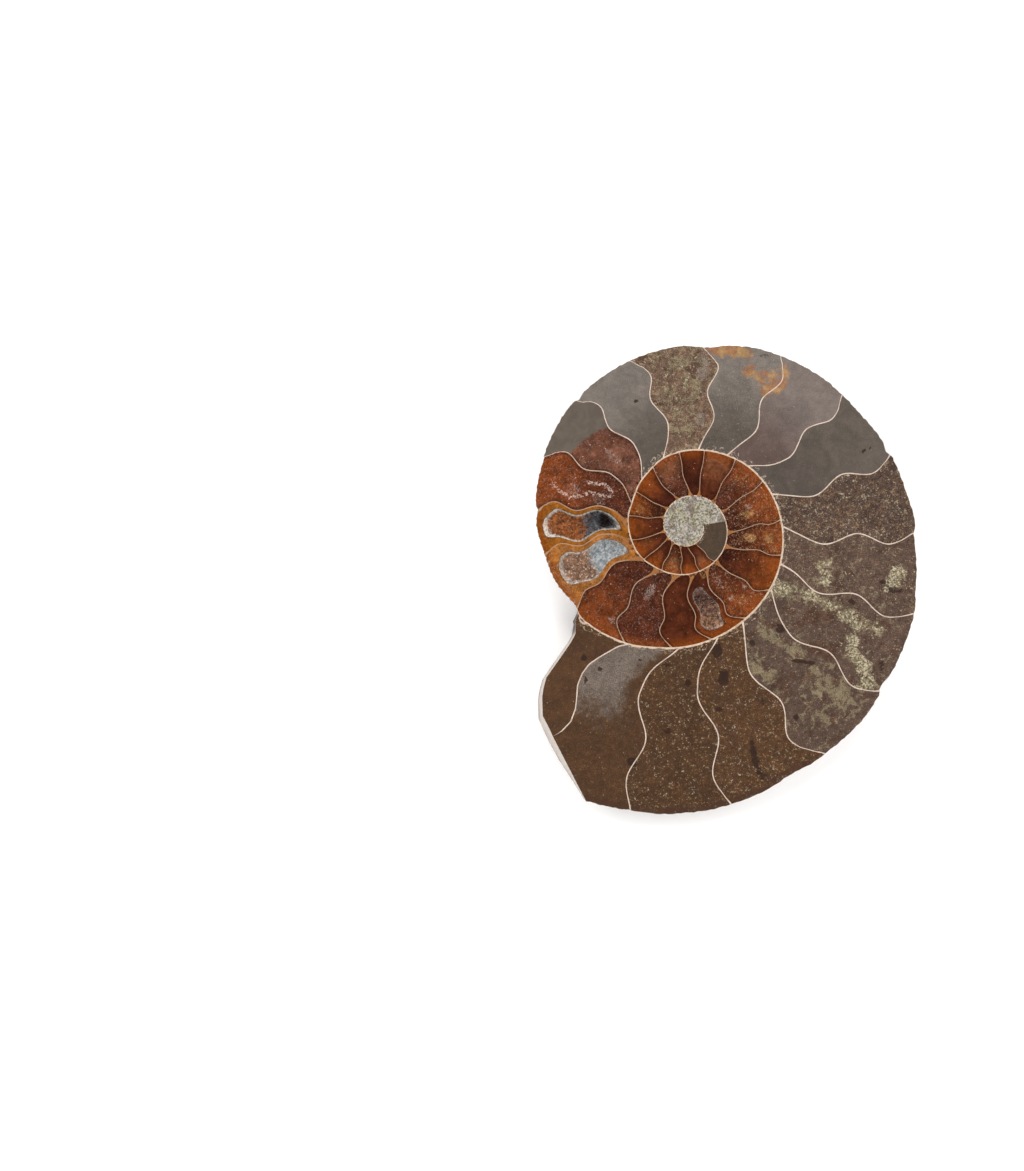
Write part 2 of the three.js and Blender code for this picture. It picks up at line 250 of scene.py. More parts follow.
# Marks in the fills by winding angle and height: centre, half-widths and strength
MARKS = {
    "khaki": (
        (86, 0.6, 4, 0.14, 0.8), (92, 0.85, 5, 0.12, 0.7), (97, 0.45, 5, 0.2, 0.6), (91, 0.25, 5, 0.12, 0.6),
    ),
    "cream": ((92, 0.7, 5, 0.2, 0.35), (95, 0.4, 5, 0.2, 0.3)),
    "rust": ((-97, 0.97, 3, 0.03, 0.4),),
    "brick": ((-10, 0.7, 4, 0.1, 0.4), (100, 0.85, 3, 0.08, 0.5), (86, 0.15, 5, 0.1, 0.5)),
    "dark": (
        (-95, 0.5, 1.2, 0.025, 0.8), (-89, 0.22, 1.2, 0.025, 0.8), (-98, 0.1, 2, 0.02, 0.7),
        (-76, 0.08, 3, 0.05, 0.9), (-47, 0.2, 2.5, 0.05, 0.7), (23.5, 0.86, 0.3, 0.11, 0.9),
        (111.5, 0.62, 1.3, 0.02, 0.7),
        (65, 0.95, 3, 0.04, 0.5), (-80.5, 0.42, 1, 0.02, 0.7), (-66, 0.5, 1, 0.03, 0.5),
        (-90, 0.8, 1, 0.02, 0.5),
    ),
    "lilac": (
        (84, 0.8, 3, 0.16, 0.9), (83, 0.3, 3, 0.1, 0.7), (107.5, 0.68, 3, 0.08, 1), (118, 0.85, 6, 0.1, 0.5),
        (46, 0.9, 6, 0.1, 0.5), (52, 0.7, 5, 0.2, 0.4),
    ),
    "haze": (
        (163, 0.35, 5, 0.12, 0.6), (162, 0.62, 5, 0.12, 0.7), (201, 0.62, 6, 0.2, 0.7),
        (222, 0.5, 6, 0.2, 0.35),
        (240, 0.3, 4, 0.15, 0.9), (231, 0.8, 2, 0.06, 0.9), (300, 0.3, 4, 0.14, 0.6), (302, 0.6, 2, 0.05, 1),
        (314, 0.62, 2, 0.05, 1), (136, 0.35, 3, 0.18, 0.7), (378, 0.5, 3, 0.1, 0.8), (402, 0.5, 6, 0.2, 0.5),
    ),
    "honey": (
        (350, 0.4, 5, 0.16, 1), (352, 0.75, 5, 0.1, 0.9), (372, 0.4, 5, 0.2, 0.9), (194, 0.4, 2.5, 0.35, 0.9),
        (175, 0.4, 2.5, 0.35, 0.6), (308, 0.75, 6, 0.1, 0.5), (402, 0.7, 8, 0.2, 0.5),
        (520, 0.7, 8, 0.2, 0.6),
        (560, 0.6, 8, 0.2, 0.4), (610, 0.6, 8, 0.3, 0.5), (287, 0.06, 4, 0.1, 0.7),
    ),
}
# Chambers where patches of a kind may show anywhere, and how readily
GROUNDS = {
    "khaki": ((4, 0.26), (5, 0.2), (6, 0.22), (11, 0.42)),
    "brick": ((0, 0.3), (3, 0.26), (4, 0.3), (5, 0.3), (6, 0.26), (11, 0.34)),
    "dark": ((1, 0.1), (2, 0.12), (3, 0.14), (4, 0.16), (5, 0.16), (6, 0.14)),
    "haze": (
        (13, 0.34), (14, 0.36), (16, 0.4), (17, 0.3), (18, 0.36), (21, 0.3), (23, 0.3), (24, 0.3),
        (25, 0.36), (28, 0.34),
    ),
    "honey": ((16, 0.4), (21, 0.3), (22, 0.25), (23, 0.36), (24, 0.36), (30, 0.34), (34, 0.36)),
}
# Round dark spots near the mouth by place: centre and half-width
MOUTH_SPOTS = (
    (-33.4, -18.4, 0.9), (-29.7, -21.0, 0.7), (-33.0, -23.5, 0.7), (-20.3, -18.8, 0.5), (-22.1, -42.8, 1.2),
)
# Pale cloud behind the last septum: its chamber, and where it ends and is full by height and across
PALE_CHAMBER = 1
PALE_HEIGHTS = (0.66, 0.2)
PALE_ACROSS = (1.05, 0.5)
# Streaks and bands by place: half-width, strength and line; khaki and cream share three lines
KHAKI_BAND = ((11.9, -2.0), (17.9, -3.5), (22.7, -5.0), (27.5, -8.0), (31.1, -10.5), (35.3, -11.4))
KHAKI_CURL = ((29.9, -15.3), (32.3, -19.5), (32.9, -24.3))
KHAKI_DAB = ((23.3, 3.4), (23.3, 0.4))
STREAKS = {
    "vein": (
        (0.55, 1, ((-40.7, 21.8), (-36.7, 19.5), (-34.4, 19.7), (-32.0, 20.6), (-29.7, 19.9), (-26.8, 19.5))),
        (0.5, 1, ((-32.4, 22.9), (-28.3, 22.5), (-26.8, 20.6))),
        (0.8, 0.8, ((-40.5, 23.5), (-40.4, 21.8))),
        (0.7, 0.8, ((-35.5, 23.5), (-35.3, 22.3))),
    ),
    "khaki": (
        (1.5, 1, KHAKI_BAND),
        (1.9, 1, KHAKI_CURL),
        (1.9, 0.8, KHAKI_DAB),
        (1.5, 0.75, ((40.7, 1.6), (39.5, -0.8))),
        (1.2, 0.9, ((7.6, -10.5), (11.9, -14.1), (17.9, -17.1))),
        (1.8, 0.8, ((7.2, -19.5), (10.2, -23.1))),
        (2.6, 0.75, ((20.9, -23.1), (27.5, -27.3), (22.7, -32.1))),
    ),
    "cream": (
        (1.3, 0.8, KHAKI_BAND),
        (1.7, 1, KHAKI_CURL),
        (1.6, 0.7, KHAKI_DAB),
        (1.6, 0.8, ((40.7, 1.6), (38.0, -1.6))),
    ),
    "rust": (
        (1.5, 1, ((-3.0, 54.6), (1.0, 54.2), (4.2, 53.4))),
        (1.4, 0.75, ((5.6, 48.9), (9.5, 47.4), (12.6, 47.2))),
        (1.2, 0.9, ((9.2, 44.3), (12.8, 45.6), (13.6, 49.0))),
    ),
    "lens": ((0.6, 1, ((-34.0, -9.1), (-31.8, -9.9))),),
    "brick": (
        (0.8, 1, ((25.9, -23.8), (26.0, -23.9))),
        (0.9, 1, ((17.3, -10.4), (17.4, -10.5))),
        (1.3, 0.9, ((19.5, -8.4), (24.5, -8.6))),
        (1.8, 0.8, ((20.7, -15.5), (24.7, -17.5))),
        (1.6, 0.7, ((11.5, -23.0), (14.5, -27.0))),
    ),
    "dark": (
        (0.35, 0.9, ((16.1, -19.0), (20.3, -19.6))),
        (0.5, 0.9, ((5.9, -37.9), (6.8, -42.5), (8.6, -46.4))),
        (1.1, 0.8, ((-0.8, -22.4), (-0.6, -23.6))),
        (0.5, 0.9, ((6.1, -14.5), (6.2, -14.9))),
        (0.5, 0.9, ((29.4, -5.0), (29.8, -5.2))),
        (0.5, 0.9, ((36.7, -0.5), (36.9, -0.6))),
        (0.4, 0.9, ((38.6, -2.4), (41.0, -2.6))),
        (0.5, 0.8, ((16.3, -32.2), (16.5, -32.5))),
        (0.4, 0.8, ((36.4, -19.6), (36.6, -20.6))),
        (0.3, 0.8, ((-2.0, -30.0), (-1.2, -30.4))),
    ),
}
# Noises of each finish: swells in a millimetre, detail, roughness and distortion
NOISES = {
    "silt_fill": (
        (0.2, 5.0, 0.62, 0.8), (0.33, 4.0, 0.6, 0.5), (0.42, 7.0, 0.72, 0.5), (0.9, 5.0, 0.65),
        (1.3, 4.0, 0.75, 0.3), (2.3, 3.0, 0.75), (3.6, 2.0, 0.7),
    ),
    "calcite_fill": (
        (0.35, 4.0, 0.55, 0.6), (0.8, 5.0, 0.65, 1.4), (1.2, 5.0, 0.7, 2.2), (2.2, 2.0, 0.6),
        (3.4, 3.0, 0.65),
    ),
    "shell_wall": (
        (0.7, 4.0, 0.6), (3.0, 4.0, 0.6),
    ),
    "septum_shell": (
        (2.2, 4.0, 0.6), (0.5, 3.0, 0.5),
    ),
    "ground_facet": (
        (2.5, 5.0, 0.65), (0.25, 4.0, 0.6),
    ),
    "flank_shell": (
        (0.12, 5.0, 0.6, 0.5), (0.8, 5.0, 0.62), (4.0, 4.0, 0.6),
    ),
    "crystal_finish": (
        (0.6, 4.0, 0.65, 0.8), (1.1, 4.0, 0.7, 1.5),
    ),
}


def length(name, description, default):
    """A length property of the panel."""
    return FloatProperty(name=name, description=description, default=default, unit="LENGTH")


def colour(name, description, default):
    """A colour property of the panel."""
    return FloatVectorProperty(
        name=name, description=description, default=default, subtype="COLOR", size=3, min=0.0, max=1.0,
    )


class FossilSizes(bpy.types.PropertyGroup):
    """Sizes of the fossil that a user may change."""

    rim_radius: length("Rim Radius", "Pole to rim at winding angle zero", 0.05383)
    growth: FloatProperty(
        name="Growth", description="Shrink of the radius for each radian of winding", default=0.1405,
    )
    wall: length("Wall", "Thickness of the shell between whorls", 0.00052)
    septum: length("Septum", "Thickness of the septa in the outer whorl", 0.00028)
    rib_height: length("Rib Height", "Relief of the growth ribs on the flank", 0.00035)
    rib_count: IntProperty(name="Ribs", description="Growth ribs in one turn", default=58)
    crystal: length("Crystal", "Half-width of a large crystal in the hollows", 0.0005)


class FossilColours(bpy.types.PropertyGroup):
    """Colours of the fossil's fills and shell."""

    umber: colour("Umber Silt", "Brown fill by the mouth", (0.056, 0.0258, 0.0108))
    taupe: colour("Taupe Silt", "Grey-brown fill", (0.071, 0.043, 0.031))
    khaki: colour("Khaki Silt", "Olive patches in the fill", (0.15, 0.117, 0.07))
    cream: colour("Cream Grains", "Pale grains in the fill", (0.425, 0.3781, 0.256))
    olive: colour("Olive Mud", "Dark smooth mud", (0.0741, 0.0591, 0.0472))
    mauve: colour("Mauve Mud", "Smooth mud with a pink cast", (0.0858, 0.0563, 0.0472))
    grey: colour("Grey Mud", "Pale smooth mud", (0.1412, 0.1198, 0.1025))
    lilac: colour("Lilac Mud", "Mud with a violet cast", (0.1384, 0.1103, 0.0967))
    mud: colour("Core Mud", "Grey-brown fill by the core", (0.046, 0.029, 0.0175))
    rust: colour("Rust", "Iron stains", (0.212, 0.079, 0.0299))
    brick: colour("Brick", "Red-brown patches in the fill", (0.0497, 0.0213, 0.012))
    ochre: colour("Ochre Silt", "Mottled khaki fill", (0.1, 0.06, 0.04))
    # Painted light: the orange of light shining through the thin calcite by the rim.
    orange: colour("Orange Calcite", "Bright rim of the calcite", (0.1443, 0.0318, 0.0039))
    amber: colour("Amber Calcite", "Common tone of the calcite", (0.1187, 0.0282, 0.0064))
    deep: colour("Deep Calcite", "Dark calcite", (0.0532, 0.0127, 0.0048))
    # Also the dark of the painted shadow along the septa and of the painted shade in the deep of the hollows.
    maroon: colour("Maroon Calcite", "Darkest red calcite", (0.0347, 0.0078, 0.0039))
    honey: colour("Honey Cloud", "Yellow clouds in the calcite", (0.2832, 0.1581, 0.0589))
    tan: colour("Tan Calcite", "Dull orange calcite", (0.1228, 0.0419, 0.0175))
    cocoa: colour("Cocoa Calcite", "Dull red-brown calcite beside the mud", (0.1, 0.037, 0.021))
    gold: colour("Golden Calcite", "Bright calcite around the hollows", (0.21, 0.071, 0.0095))
    ash: colour("Ash Mud", "Darkest smooth mud", (0.06, 0.047, 0.038))
    # Also the colour of the painted glints: light flashing off cleavage inside the calcite.
    haze: colour("Haze", "Whitish clouds and glints in the calcite", (0.3358, 0.251, 0.2154))
    wall: colour("Shell Wall", "Shell between the whorls", (0.5, 0.39, 0.29))
    septum: colour("Septa", "Thin walls between chambers", (0.4857, 0.3872, 0.3176))
    facet: colour("Ground Facet", "Sawn face of the mouth", (0.4752, 0.425, 0.3826))
    flank: colour("Flank", "Outer shell of the other side", (0.1885, 0.122, 0.0721))
    flank_dark: colour("Flank Stain", "Stains on the outer shell", (0.0739, 0.0406, 0.0222))
    fillet: colour("Fillet", "Tan shell and septa by the calcite", (0.27, 0.155, 0.088))
    brown_crystal: colour("Brown Crystal", "Crystals of the first hollow", (0.2, 0.062, 0.014))
    slate_crystal: colour("Slate Crystal", "Deep crystals of the first hollow", (0.06, 0.06, 0.066))
    white_crystal: colour("White Crystal", "Crystals of the second hollow", (0.24, 0.26, 0.27))
    blush_crystal: colour("Blush Crystal", "Pinkish crystals", (0.17, 0.088, 0.05))
    rose_crystal: colour("Rose Crystal", "Crystals of the third hollow", (0.1, 0.048, 0.034))
    druse: colour("Druse", "Fine pale crystals on the rim of the hollows", (0.5177, 0.4701, 0.4059))


class StageSettings(bpy.types.PropertyGroup):
    """Camera, light and floor."""

    camera_height: length("Camera Height", "Camera above the cut face", 0.764)
    lens: FloatProperty(name="Lens", description="Focal length in millimetres", default=100.0)
    light: FloatProperty(name="Light", description="Power of each lamp in watts", default=9.6)
    floor: colour("Floor", "Pale floor", (0.97, 0.97, 0.97))


def smooth_step(low, high, value):
    """Zero below low, one above high, and three times the square less twice the cube between them."""
    share = np.clip((value - low) / (high - low), 0.0, 1.0)
    return share * share * (3.0 - 2.0 * share)


def steps_between(knots, values, at):
    """The values at the knots, joined by smooth steps."""
    after = np.clip(np.searchsorted(knots, at), 1, len(knots) - 1)
    share = smooth_step(knots[after - 1], knots[after], at)
    return values[after - 1] + (values[after] - values[after - 1]) * share


def curve_through(knots, values, at):
    """Cubic pieces through the knots, each with the slope that its neighbours give."""
    knots = np.asarray(knots, float)
    values = np.asarray(values, float)
    slopes = np.gradient(values, knots)
    after = np.clip(np.searchsorted(knots, at), 1, len(knots) - 1)
    gap = knots[after] - knots[after - 1]
    share = np.clip((at - knots[after - 1]) / gap, 0.0, 1.0)
    rest = 1.0 - share
    start = values[after - 1] * (1.0 + 2.0 * share) * rest**2 + slopes[after - 1] * gap * share * rest**2
    end = values[after] * share**2 * (1.0 + 2.0 * rest) - slopes[after] * gap * share**2 * rest
    return start + end


def spread_evenly(points, count):
    """Points at equal steps along a broken line, with every column of it carried along."""
    points = np.asarray(points, float)
    lengths = np.hypot(*np.diff(points[:, :2], axis=0).T)
    run = np.concatenate(([0.0], np.cumsum(lengths)))
    at = np.linspace(0.0, run[-1], count)
    return np.stack([np.interp(at, run, column) for column in points.T], axis=-1)


def ripple(angle, waves):
    """A small uneven wave: a sum of sines over the angle, each with its own count, size and phase."""
    turn = np.radians(angle)
    return sum(size * np.sin(count * turn + phase) for count, size, phase in waves)


def cross(first, second):
    """Area spanned by two plane vectors."""
    return first[..., 0] * second[..., 1] - first[..., 1] * second[..., 0]


class Spiral:
    """Rims, walls and septa of the cut face in millimetres, by winding angle and height of the whorl."""

    CHIPS = ((97, 0.05, 0.4), (151, 0.05, 2.1), (263, 0.035, 4.0), (431, 0.02, 1.2))

    def __init__(self, sizes):
        self.rim_radius = sizes.rim_radius / MM
        self.growth = sizes.growth
        self.wall = sizes.wall / MM
        self.septum = sizes.septum / MM

    def radius(self, angle):
        """Shrinks by a fixed share for each radian, a little faster in the inner whorls, plus wear."""
        further = np.radians(np.maximum(angle - TIGHTENING_START, 0.0))
        even = self.rim_radius * np.exp(-self.growth * np.radians(angle) - TIGHTENING * further)
        knots, values = np.array(RIM_WEAR, float).T
        chips = ripple(angle, self.CHIPS) * smooth_step(NOTCH + CHIP_FADE, NOTCH, angle)
        return even + steps_between(knots, values, angle) + chips

    def rim(self, angle):
        """Point of the rim: the pole, which drifts between two places, plus the radius along the angle."""
        share = np.clip((angle - DRIFT[0]) / (DRIFT[1] - DRIFT[0]), 0.0, 1.0)
        pole = OUTER_POLE + (INNER_POLE - OUTER_POLE) * share[..., None]
        turn = np.radians(angle)
        return pole + self.radius(angle)[..., None] * np.stack((np.cos(turn), np.sin(turn)), axis=-1)

    def face(self, angle, height):
        """Point of the cut face: a share of the way from the rim one turn further in to the rim."""
        outer = self.rim(angle)
        inner = self.rim(angle + TURN)
        return inner + (outer - inner) * height[..., None]

    def whorl_height(self, angle):
        """Distance between the rim and the rim one turn further in."""
        return np.linalg.norm(self.rim(angle) - self.rim(angle + TURN), axis=-1)

    def half_wall(self, angle):
        """Half the thickness of the wall at a winding angle: it thins slowly inwards."""
        return 0.5 * self.wall * np.exp(-WALL_THINNING * np.radians(angle - NOTCH))

    def heights(self, angle, rows):
        """Heights of the fill: from the inner wall's face to the outer wall's face, or to the bare rim."""
        full = self.whorl_height(angle)
        low = self.half_wall(angle + TURN) / full
        inside = smooth_step(*WALL_START, angle)
        high = 1.0 - inside * self.half_wall(angle) / full
        return low + (high - low) * rows

    def unwind(self, points):
        """Winding angle and height of points by the mouth: Newton steps on the formula of the cut face."""
        offset = points - OUTER_POLE
        angle = np.degrees(np.arctan2(offset[:, 1], offset[:, 0]))
        height = np.full(len(points), 0.5)
        step = 0.01
        for _ in range(NEWTON_STEPS):
            here = self.face(angle, height)
            by_angle = (self.face(angle + step, height) - here) / step
            by_height = self.rim(angle) - self.rim(angle + TURN)
            miss = points - here
            area = cross(by_angle, by_height)
            angle = angle + cross(miss, by_height) / area
            height = height + cross(by_angle, miss) / area
        return angle, height

    def septa(self, rows):
        """Winding angles of every septum behind the mouth chamber, at each share of the height."""
        lines = []
        groups = ((OUTER_SEPTA, OUTER_SWING), (MIDDLE_SEPTA, MIDDLE_SWING), (INNER_SEPTA, INNER_SWING))
        for septa, (knots, between) in groups:
            for angle, foot, rim in septa:
                lines.append(angle + curve_through(knots, (foot, *between, rim), rows))
        return lines

    def half_septum(self, angle, rows, fillets):
        """Half a septum in degrees: even, thinner inwards, flared at its foot and rim by fillets."""
        middle = angle[len(angle) // 2]
        full = self.whorl_height(np.array(middle))
        even = 0.5 * self.septum * np.exp(-SEPTUM_THINNING * np.radians(max(middle, 0.0)))
        even = even * (1.0 - 0.5 * smooth_step(*THIN_RIM, rows)) * (0.5 + 0.5 * smooth_step(*THIN_FOOT, rows))
        foot, rim = (share * full for share in fillets)
        half = even + foot * np.exp(-rows / FILLET_LENGTH) + rim * np.exp(-(1.0 - rows) / FILLET_LENGTH)
        distance = np.linalg.norm(self.face(angle, rows) - OUTER_POLE, axis=-1)
        return np.degrees(half / distance)


class FaceGrid:
    """Columns of the cut face from the mouth to the core, with their chamber and place across it."""

    def __init__(self, spiral):
        self.spiral = spiral
        self.rows = np.linspace(0.0, 1.0, ROWS + 1)
        self.edges = self.chamber_edges()
        blocks = [self.chamber_block(number) for number in range(len(self.edges))]
        for name in ("angle", "height", "across", "chamber", "septum_gap", "rim_gap", "wall_gap"):
            setattr(self, name, np.concatenate([block[name] for block in blocks]))
        self.first_rim_column = len(blocks[0]["chamber"])
        self.point = spiral.face(self.angle, self.height)

    def chamber_edges(self):
        """Left and right edge of each chamber as winding angles and heights for every row."""
        spiral = self.spiral
        upper = spread_evenly(FACET_EDGE + LOWER_FACET[:1], MOUTH_ROWS + 1)
        lower = spread_evenly(LOWER_FACET, ROWS - MOUTH_ROWS + 1)
        self.facet = np.concatenate((upper, lower[1:]))
        septum = spread_evenly(LAST_SEPTUM, MOUTH_ROWS + 1)
        facet_angle, facet_height = spiral.unwind(self.facet[:, :2])
        septum_angle, septum_height = spiral.unwind(septum)
        angle = np.concatenate((septum_angle, facet_angle[MOUTH_ROWS + 1:]))
        height = np.concatenate((septum_height, facet_height[MOUTH_ROWS + 1:]))
        foot = spiral.heights(angle, np.zeros(ROWS + 1)) + np.linspace(0.0, LAST_SEPTUM_RISE, ROWS + 1)
        height = np.maximum(height, foot)
        height[0] = foot[0]
        facet_height[0] = spiral.heights(facet_angle[:1], np.zeros(1))[0]
        taper = np.clip((MOUTH_ROWS - np.arange(ROWS + 1)) / LAST_SEPTUM_TAPER, 0.0, 1.0)
        half = spiral.half_septum(angle, np.clip(height, 0.0, 1.0), SILT_FILLETS) * taper
        edges = [((facet_angle, facet_height), (angle - half, height))]
        left = (angle + half, height)
        for line in spiral.septa(self.rows):
            fillets = SILT_FILLETS if line[ROWS // 2] < FIRST_CALCITE_SEPTUM else CALCITE_FILLETS
            half = spiral.half_septum(line, self.rows, fillets)
            edges.append((left, (line - half, spiral.heights(line - half, self.rows))))
            left = (line + half, spiral.heights(line + half, self.rows))
        end = np.full(ROWS + 1, CORE_START)
        edges.append((left, (end, spiral.heights(end, self.rows))))
        return edges

    def cells(self, number):
        """Cells across a chamber."""
        if number in [hollow["chamber"] for hollow in HOLLOWS]:
            return CHAMBER_CELLS["hollow"]
        return CHAMBER_CELLS["outer" if number < FIRST_INNER_CHAMBER else "inner"]

    def chamber_block(self, number):
        """Columns of one chamber: even steps from its left to its right edge, with distances to its walls."""
        (left_angle, left_height), (right_angle, right_height) = self.edges[number]
        across = np.linspace(0.0, 1.0, self.cells(number) + 1)[:, None]
        angle = left_angle + (right_angle - left_angle) * across
        height = left_height + (right_height - left_height) * across
        distance = np.linalg.norm(self.spiral.face(angle, height) - OUTER_POLE, axis=-1)
        width = np.radians(right_angle - left_angle) * distance
        full = self.spiral.whorl_height(angle)
        return {
            "angle": angle,
            "height": height,
            "across": np.broadcast_to(across, angle.shape),
            "chamber": np.full(len(across), number),
            "septum_gap": np.minimum(width * across, width * (1.0 - across)),
            "rim_gap": full * (1.0 - self.rows),
            "wall_gap": full * self.rows,
        }

    def chamber_point(self, number, across, height):
        """Point of the cut face by the place across a chamber and the share of its height."""
        sides = []
        for angle, _ in self.edges[number]:
            sides.append(np.interp(height, self.rows, angle))
        winding = sides[0] + (sides[1] - sides[0]) * across
        return self.spiral.face(winding, self.spiral.heights(winding, height))


def hollow_measure(hollow, across, height):
    """Distance from the middle of a hollow's plan, one at its edge: a third-power mean."""
    low, high = hollow["reach"]
    along = (height - 0.5 * (low + high)) / (0.5 * (high - low))
    sideways = (across - 0.5) / (0.5 - hollow["margin"])
    total = np.abs(sideways) ** HOLLOW_ROUNDING + np.abs(along) ** HOLLOW_ROUNDING
    measure = total ** (1.0 / HOLLOW_ROUNDING)
    return measure, sideways, along


def hollow_depth(hollow, sideways, along):
    """Depth of a hollow: an upright edge, then a bowl that is deeper at the inner end."""
    start, end = hollow["depths"]
    deepest = start + (end - start) * np.clip((along + 1.0) / 2.0, 0.0, 1.0)
    side, end_power = BOWL_POWERS
    bowl = np.clip(1.0 - sideways**2, 0.0, 1.0) ** side
    bowl = bowl * np.clip(1.0 - np.abs(along) ** end_power, 0.0, 1.0)
    return HOLLOW_EDGE + (deepest - HOLLOW_EDGE) * bowl


def face_levels(grid):
    """Height of the cut face: flat, and sunk where a hollow opens."""
    level = np.full(grid.angle.shape, TOP)
    for hollow in HOLLOWS:
        columns = grid.chamber == hollow["chamber"]
        measure, sideways, along = hollow_measure(hollow, grid.across[columns], grid.rows)
        inside = smooth_step(*HOLLOW_LIP, measure)
        level[columns] = TOP - inside * hollow_depth(hollow, sideways, along)
    return level


def mark_weight(angle, height, marks):
    """Strongest of several soft ovals: one within, fading to zero a little outside their half-widths."""
    weight = np.zeros(angle.shape)
    for at_angle, at_height, half_angle, half_height, strength in marks:
        reach = np.hypot((angle - at_angle) / half_angle, (height - at_height) / half_height)
        weight = np.maximum(weight, strength * smooth_step(*MARK_EDGE, reach))
    return weight


def streak_weight(points, streaks):
    """Nearness to several streaks: their strength on the line, zero beyond twice the half-width."""
    weight = np.zeros(points.shape[:-1])
    for half, strength, line in streaks:
        for start, end in zip(line[:-1], line[1:]):
            along = np.subtract(end, start)
            share = np.clip((points - start) @ along / (along @ along), 0.0, 1.0)
            reach = np.linalg.norm(points - start - share[..., None] * along, axis=-1) / half
            weight = np.maximum(weight, strength * smooth_step(*STREAK_EDGE, reach))
    return weight


def paint_face(grid, colours):
    """Colour and detail of every vertex of the cut face, from the fill of its chamber and the marks on it."""
    inner = np.array([getattr(colours, fill[0])[:] for fill in FILLS])
    outer = np.array([getattr(colours, fill[1])[:] for fill in FILLS])
    share = smooth_step(*FILL_CHANGE, grid.height)[..., None]
    tint = inner[grid.chamber][:, None] * (1.0 - share) + outer[grid.chamber][:, None] * share
    middle, swing, step, phase = FILL_TONE
    tone = middle + swing * np.sin(step * grid.chamber + phase)
    paint = {name: mark_weight(grid.angle, grid.height, marks) for name, marks in MARKS.items()}
    for name, grounds in GROUNDS.items():
        for number, weight in grounds:
            columns = grid.chamber == number
            paint[name][columns] = np.maximum(paint[name][columns], weight)
    for x, y, half in MOUTH_SPOTS:
        reach = np.hypot(grid.point[..., 0] - x, grid.point[..., 1] - y) / half
        paint["dark"] = np.maximum(paint["dark"], smooth_step(*SPOT_EDGE, reach))
    behind_last_septum = (grid.chamber == PALE_CHAMBER)[:, None]
    pale = smooth_step(*PALE_HEIGHTS, grid.height) * smooth_step(*PALE_ACROSS, grid.across)
    paint["pale"] = pale * behind_last_septum
    for name, column in (("speck", 2), ("sand", 3)):
        amounts = np.array([fill[column] for fill in FILLS])[grid.chamber]
        paint[name] = np.broadcast_to(amounts[:, None], grid.height.shape)
    boundary = MUD_START + MUD_CLIMB * grid.across
    mixed = (grid.chamber == MIXED_CHAMBER)[:, None]
    paint["mud"] = mixed * smooth_step(-MUD_BLUR, MUD_BLUR, grid.height - boundary)
    on_venter = smooth_step(*RIND_START, grid.angle) * smooth_step(*RIND_END, grid.angle)
    paint["rind"] = on_venter * smooth_step(*RIND_DEPTH, grid.rim_gap)
    # In the chambers around the hollows the painted shadow along the septa is left out
    around_hollow = np.isin(grid.chamber, CLEAR_CHAMBERS)[:, None]
    paint["septum_gap"] = np.where(around_hollow, SHADOWLESS_SEPTUM_GAP, grid.septum_gap)
    paint["wall_gap"] = grid.wall_gap
    paint["rim_gap"] = grid.rim_gap
    for name, streaks in STREAKS.items():
        paint[name] = np.maximum(paint.get(name, 0.0), streak_weight(grid.point, streaks))
    paint["calcite"] = np.broadcast_to((grid.chamber > MIXED_CHAMBER)[:, None] * 1.0, grid.height.shape)
    paint["height"] = grid.height
    return tint * tone[:, None, None], paint


def zip_edges(first, first_run, second, second_run):
    """Triangles between two rows of vertices, joined in the order in which their runs pass each other."""
    order = np.argsort(np.concatenate((first_run, second_run)), kind="stable")
    on_first = order < len(first_run)
    at_first = np.cumsum(on_first) - 1
    at_second = np.cumsum(~on_first) - 1
    both = (at_first >= 0) & (at_second >= 0)
    step_first = both & on_first & (at_first > 0)
    step_second = both & ~on_first & (at_second > 0)
    corners = (first[at_first - 1], first[at_first], second[at_second])
    ahead = np.stack([corner[step_first] for corner in corners], axis=-1)
    corners = (second[at_second], second[at_second - 1], first[at_first])
    behind = np.stack([corner[step_second] for corner in corners], axis=-1)
    return np.concatenate((ahead, behind))


def grid_triangles(index, closed):
    """Two triangles for each cell of a grid; a closed grid joins its last column to its first."""
    following = np.roll(index, -1, axis=0) if closed else index[1:]
    current = index if closed else index[:-1]
    a, b = current[:, :-1].ravel(), current[:, 1:].ravel()
    d, c = following[:, :-1].ravel(), following[:, 1:].ravel()
    return np.concatenate((np.stack((a, b, c), axis=-1), np.stack((a, c, d), axis=-1)))


def flank_share(share):
    """Depth share of one whorl's flank: rounded from crest to rim, stepped down to the umbilicus."""
    out = np.clip((share - CREST) / (1.0 - CREST), 0.0, 1.0)
    venter = (1.0 - out**FLANK_POWER) ** VENTER_POWER
    shoulder = 1.0 - SHOULDER_DROP * ((CREST - share) / (CREST - SHOULDER)) ** 2
    shoulder = shoulder * np.where(share >= SHOULDER, 1.0, smooth_step(UMBILICUS, SHOULDER, share))
    return np.where(share >= CREST, venter, shoulder)


def flank_depth(share, angle, spiral):
    """Depth of the flank under the cut face: the deepest of the whorls, which thins towards the notch."""
    wider = math.exp(spiral.growth * 2.0 * math.pi)
    thinned = TOP * WHORL_STEP ** smooth_step(THINNING_START, NOTCH, angle)
    whorls = [WHORL_STEP**n * flank_share(np.minimum(1.0, share * wider**n)) for n in range(WHORLS_SEEN)]
    deepest = np.max(whorls, axis=0)
    floor = np.where(share < UMBILICUS, WHORL_STEP ** (WHORLS_SEEN - 1), 0.0)
    return RIM_LAND + (thinned - RIM_LAND) * np.maximum(deepest, floor)


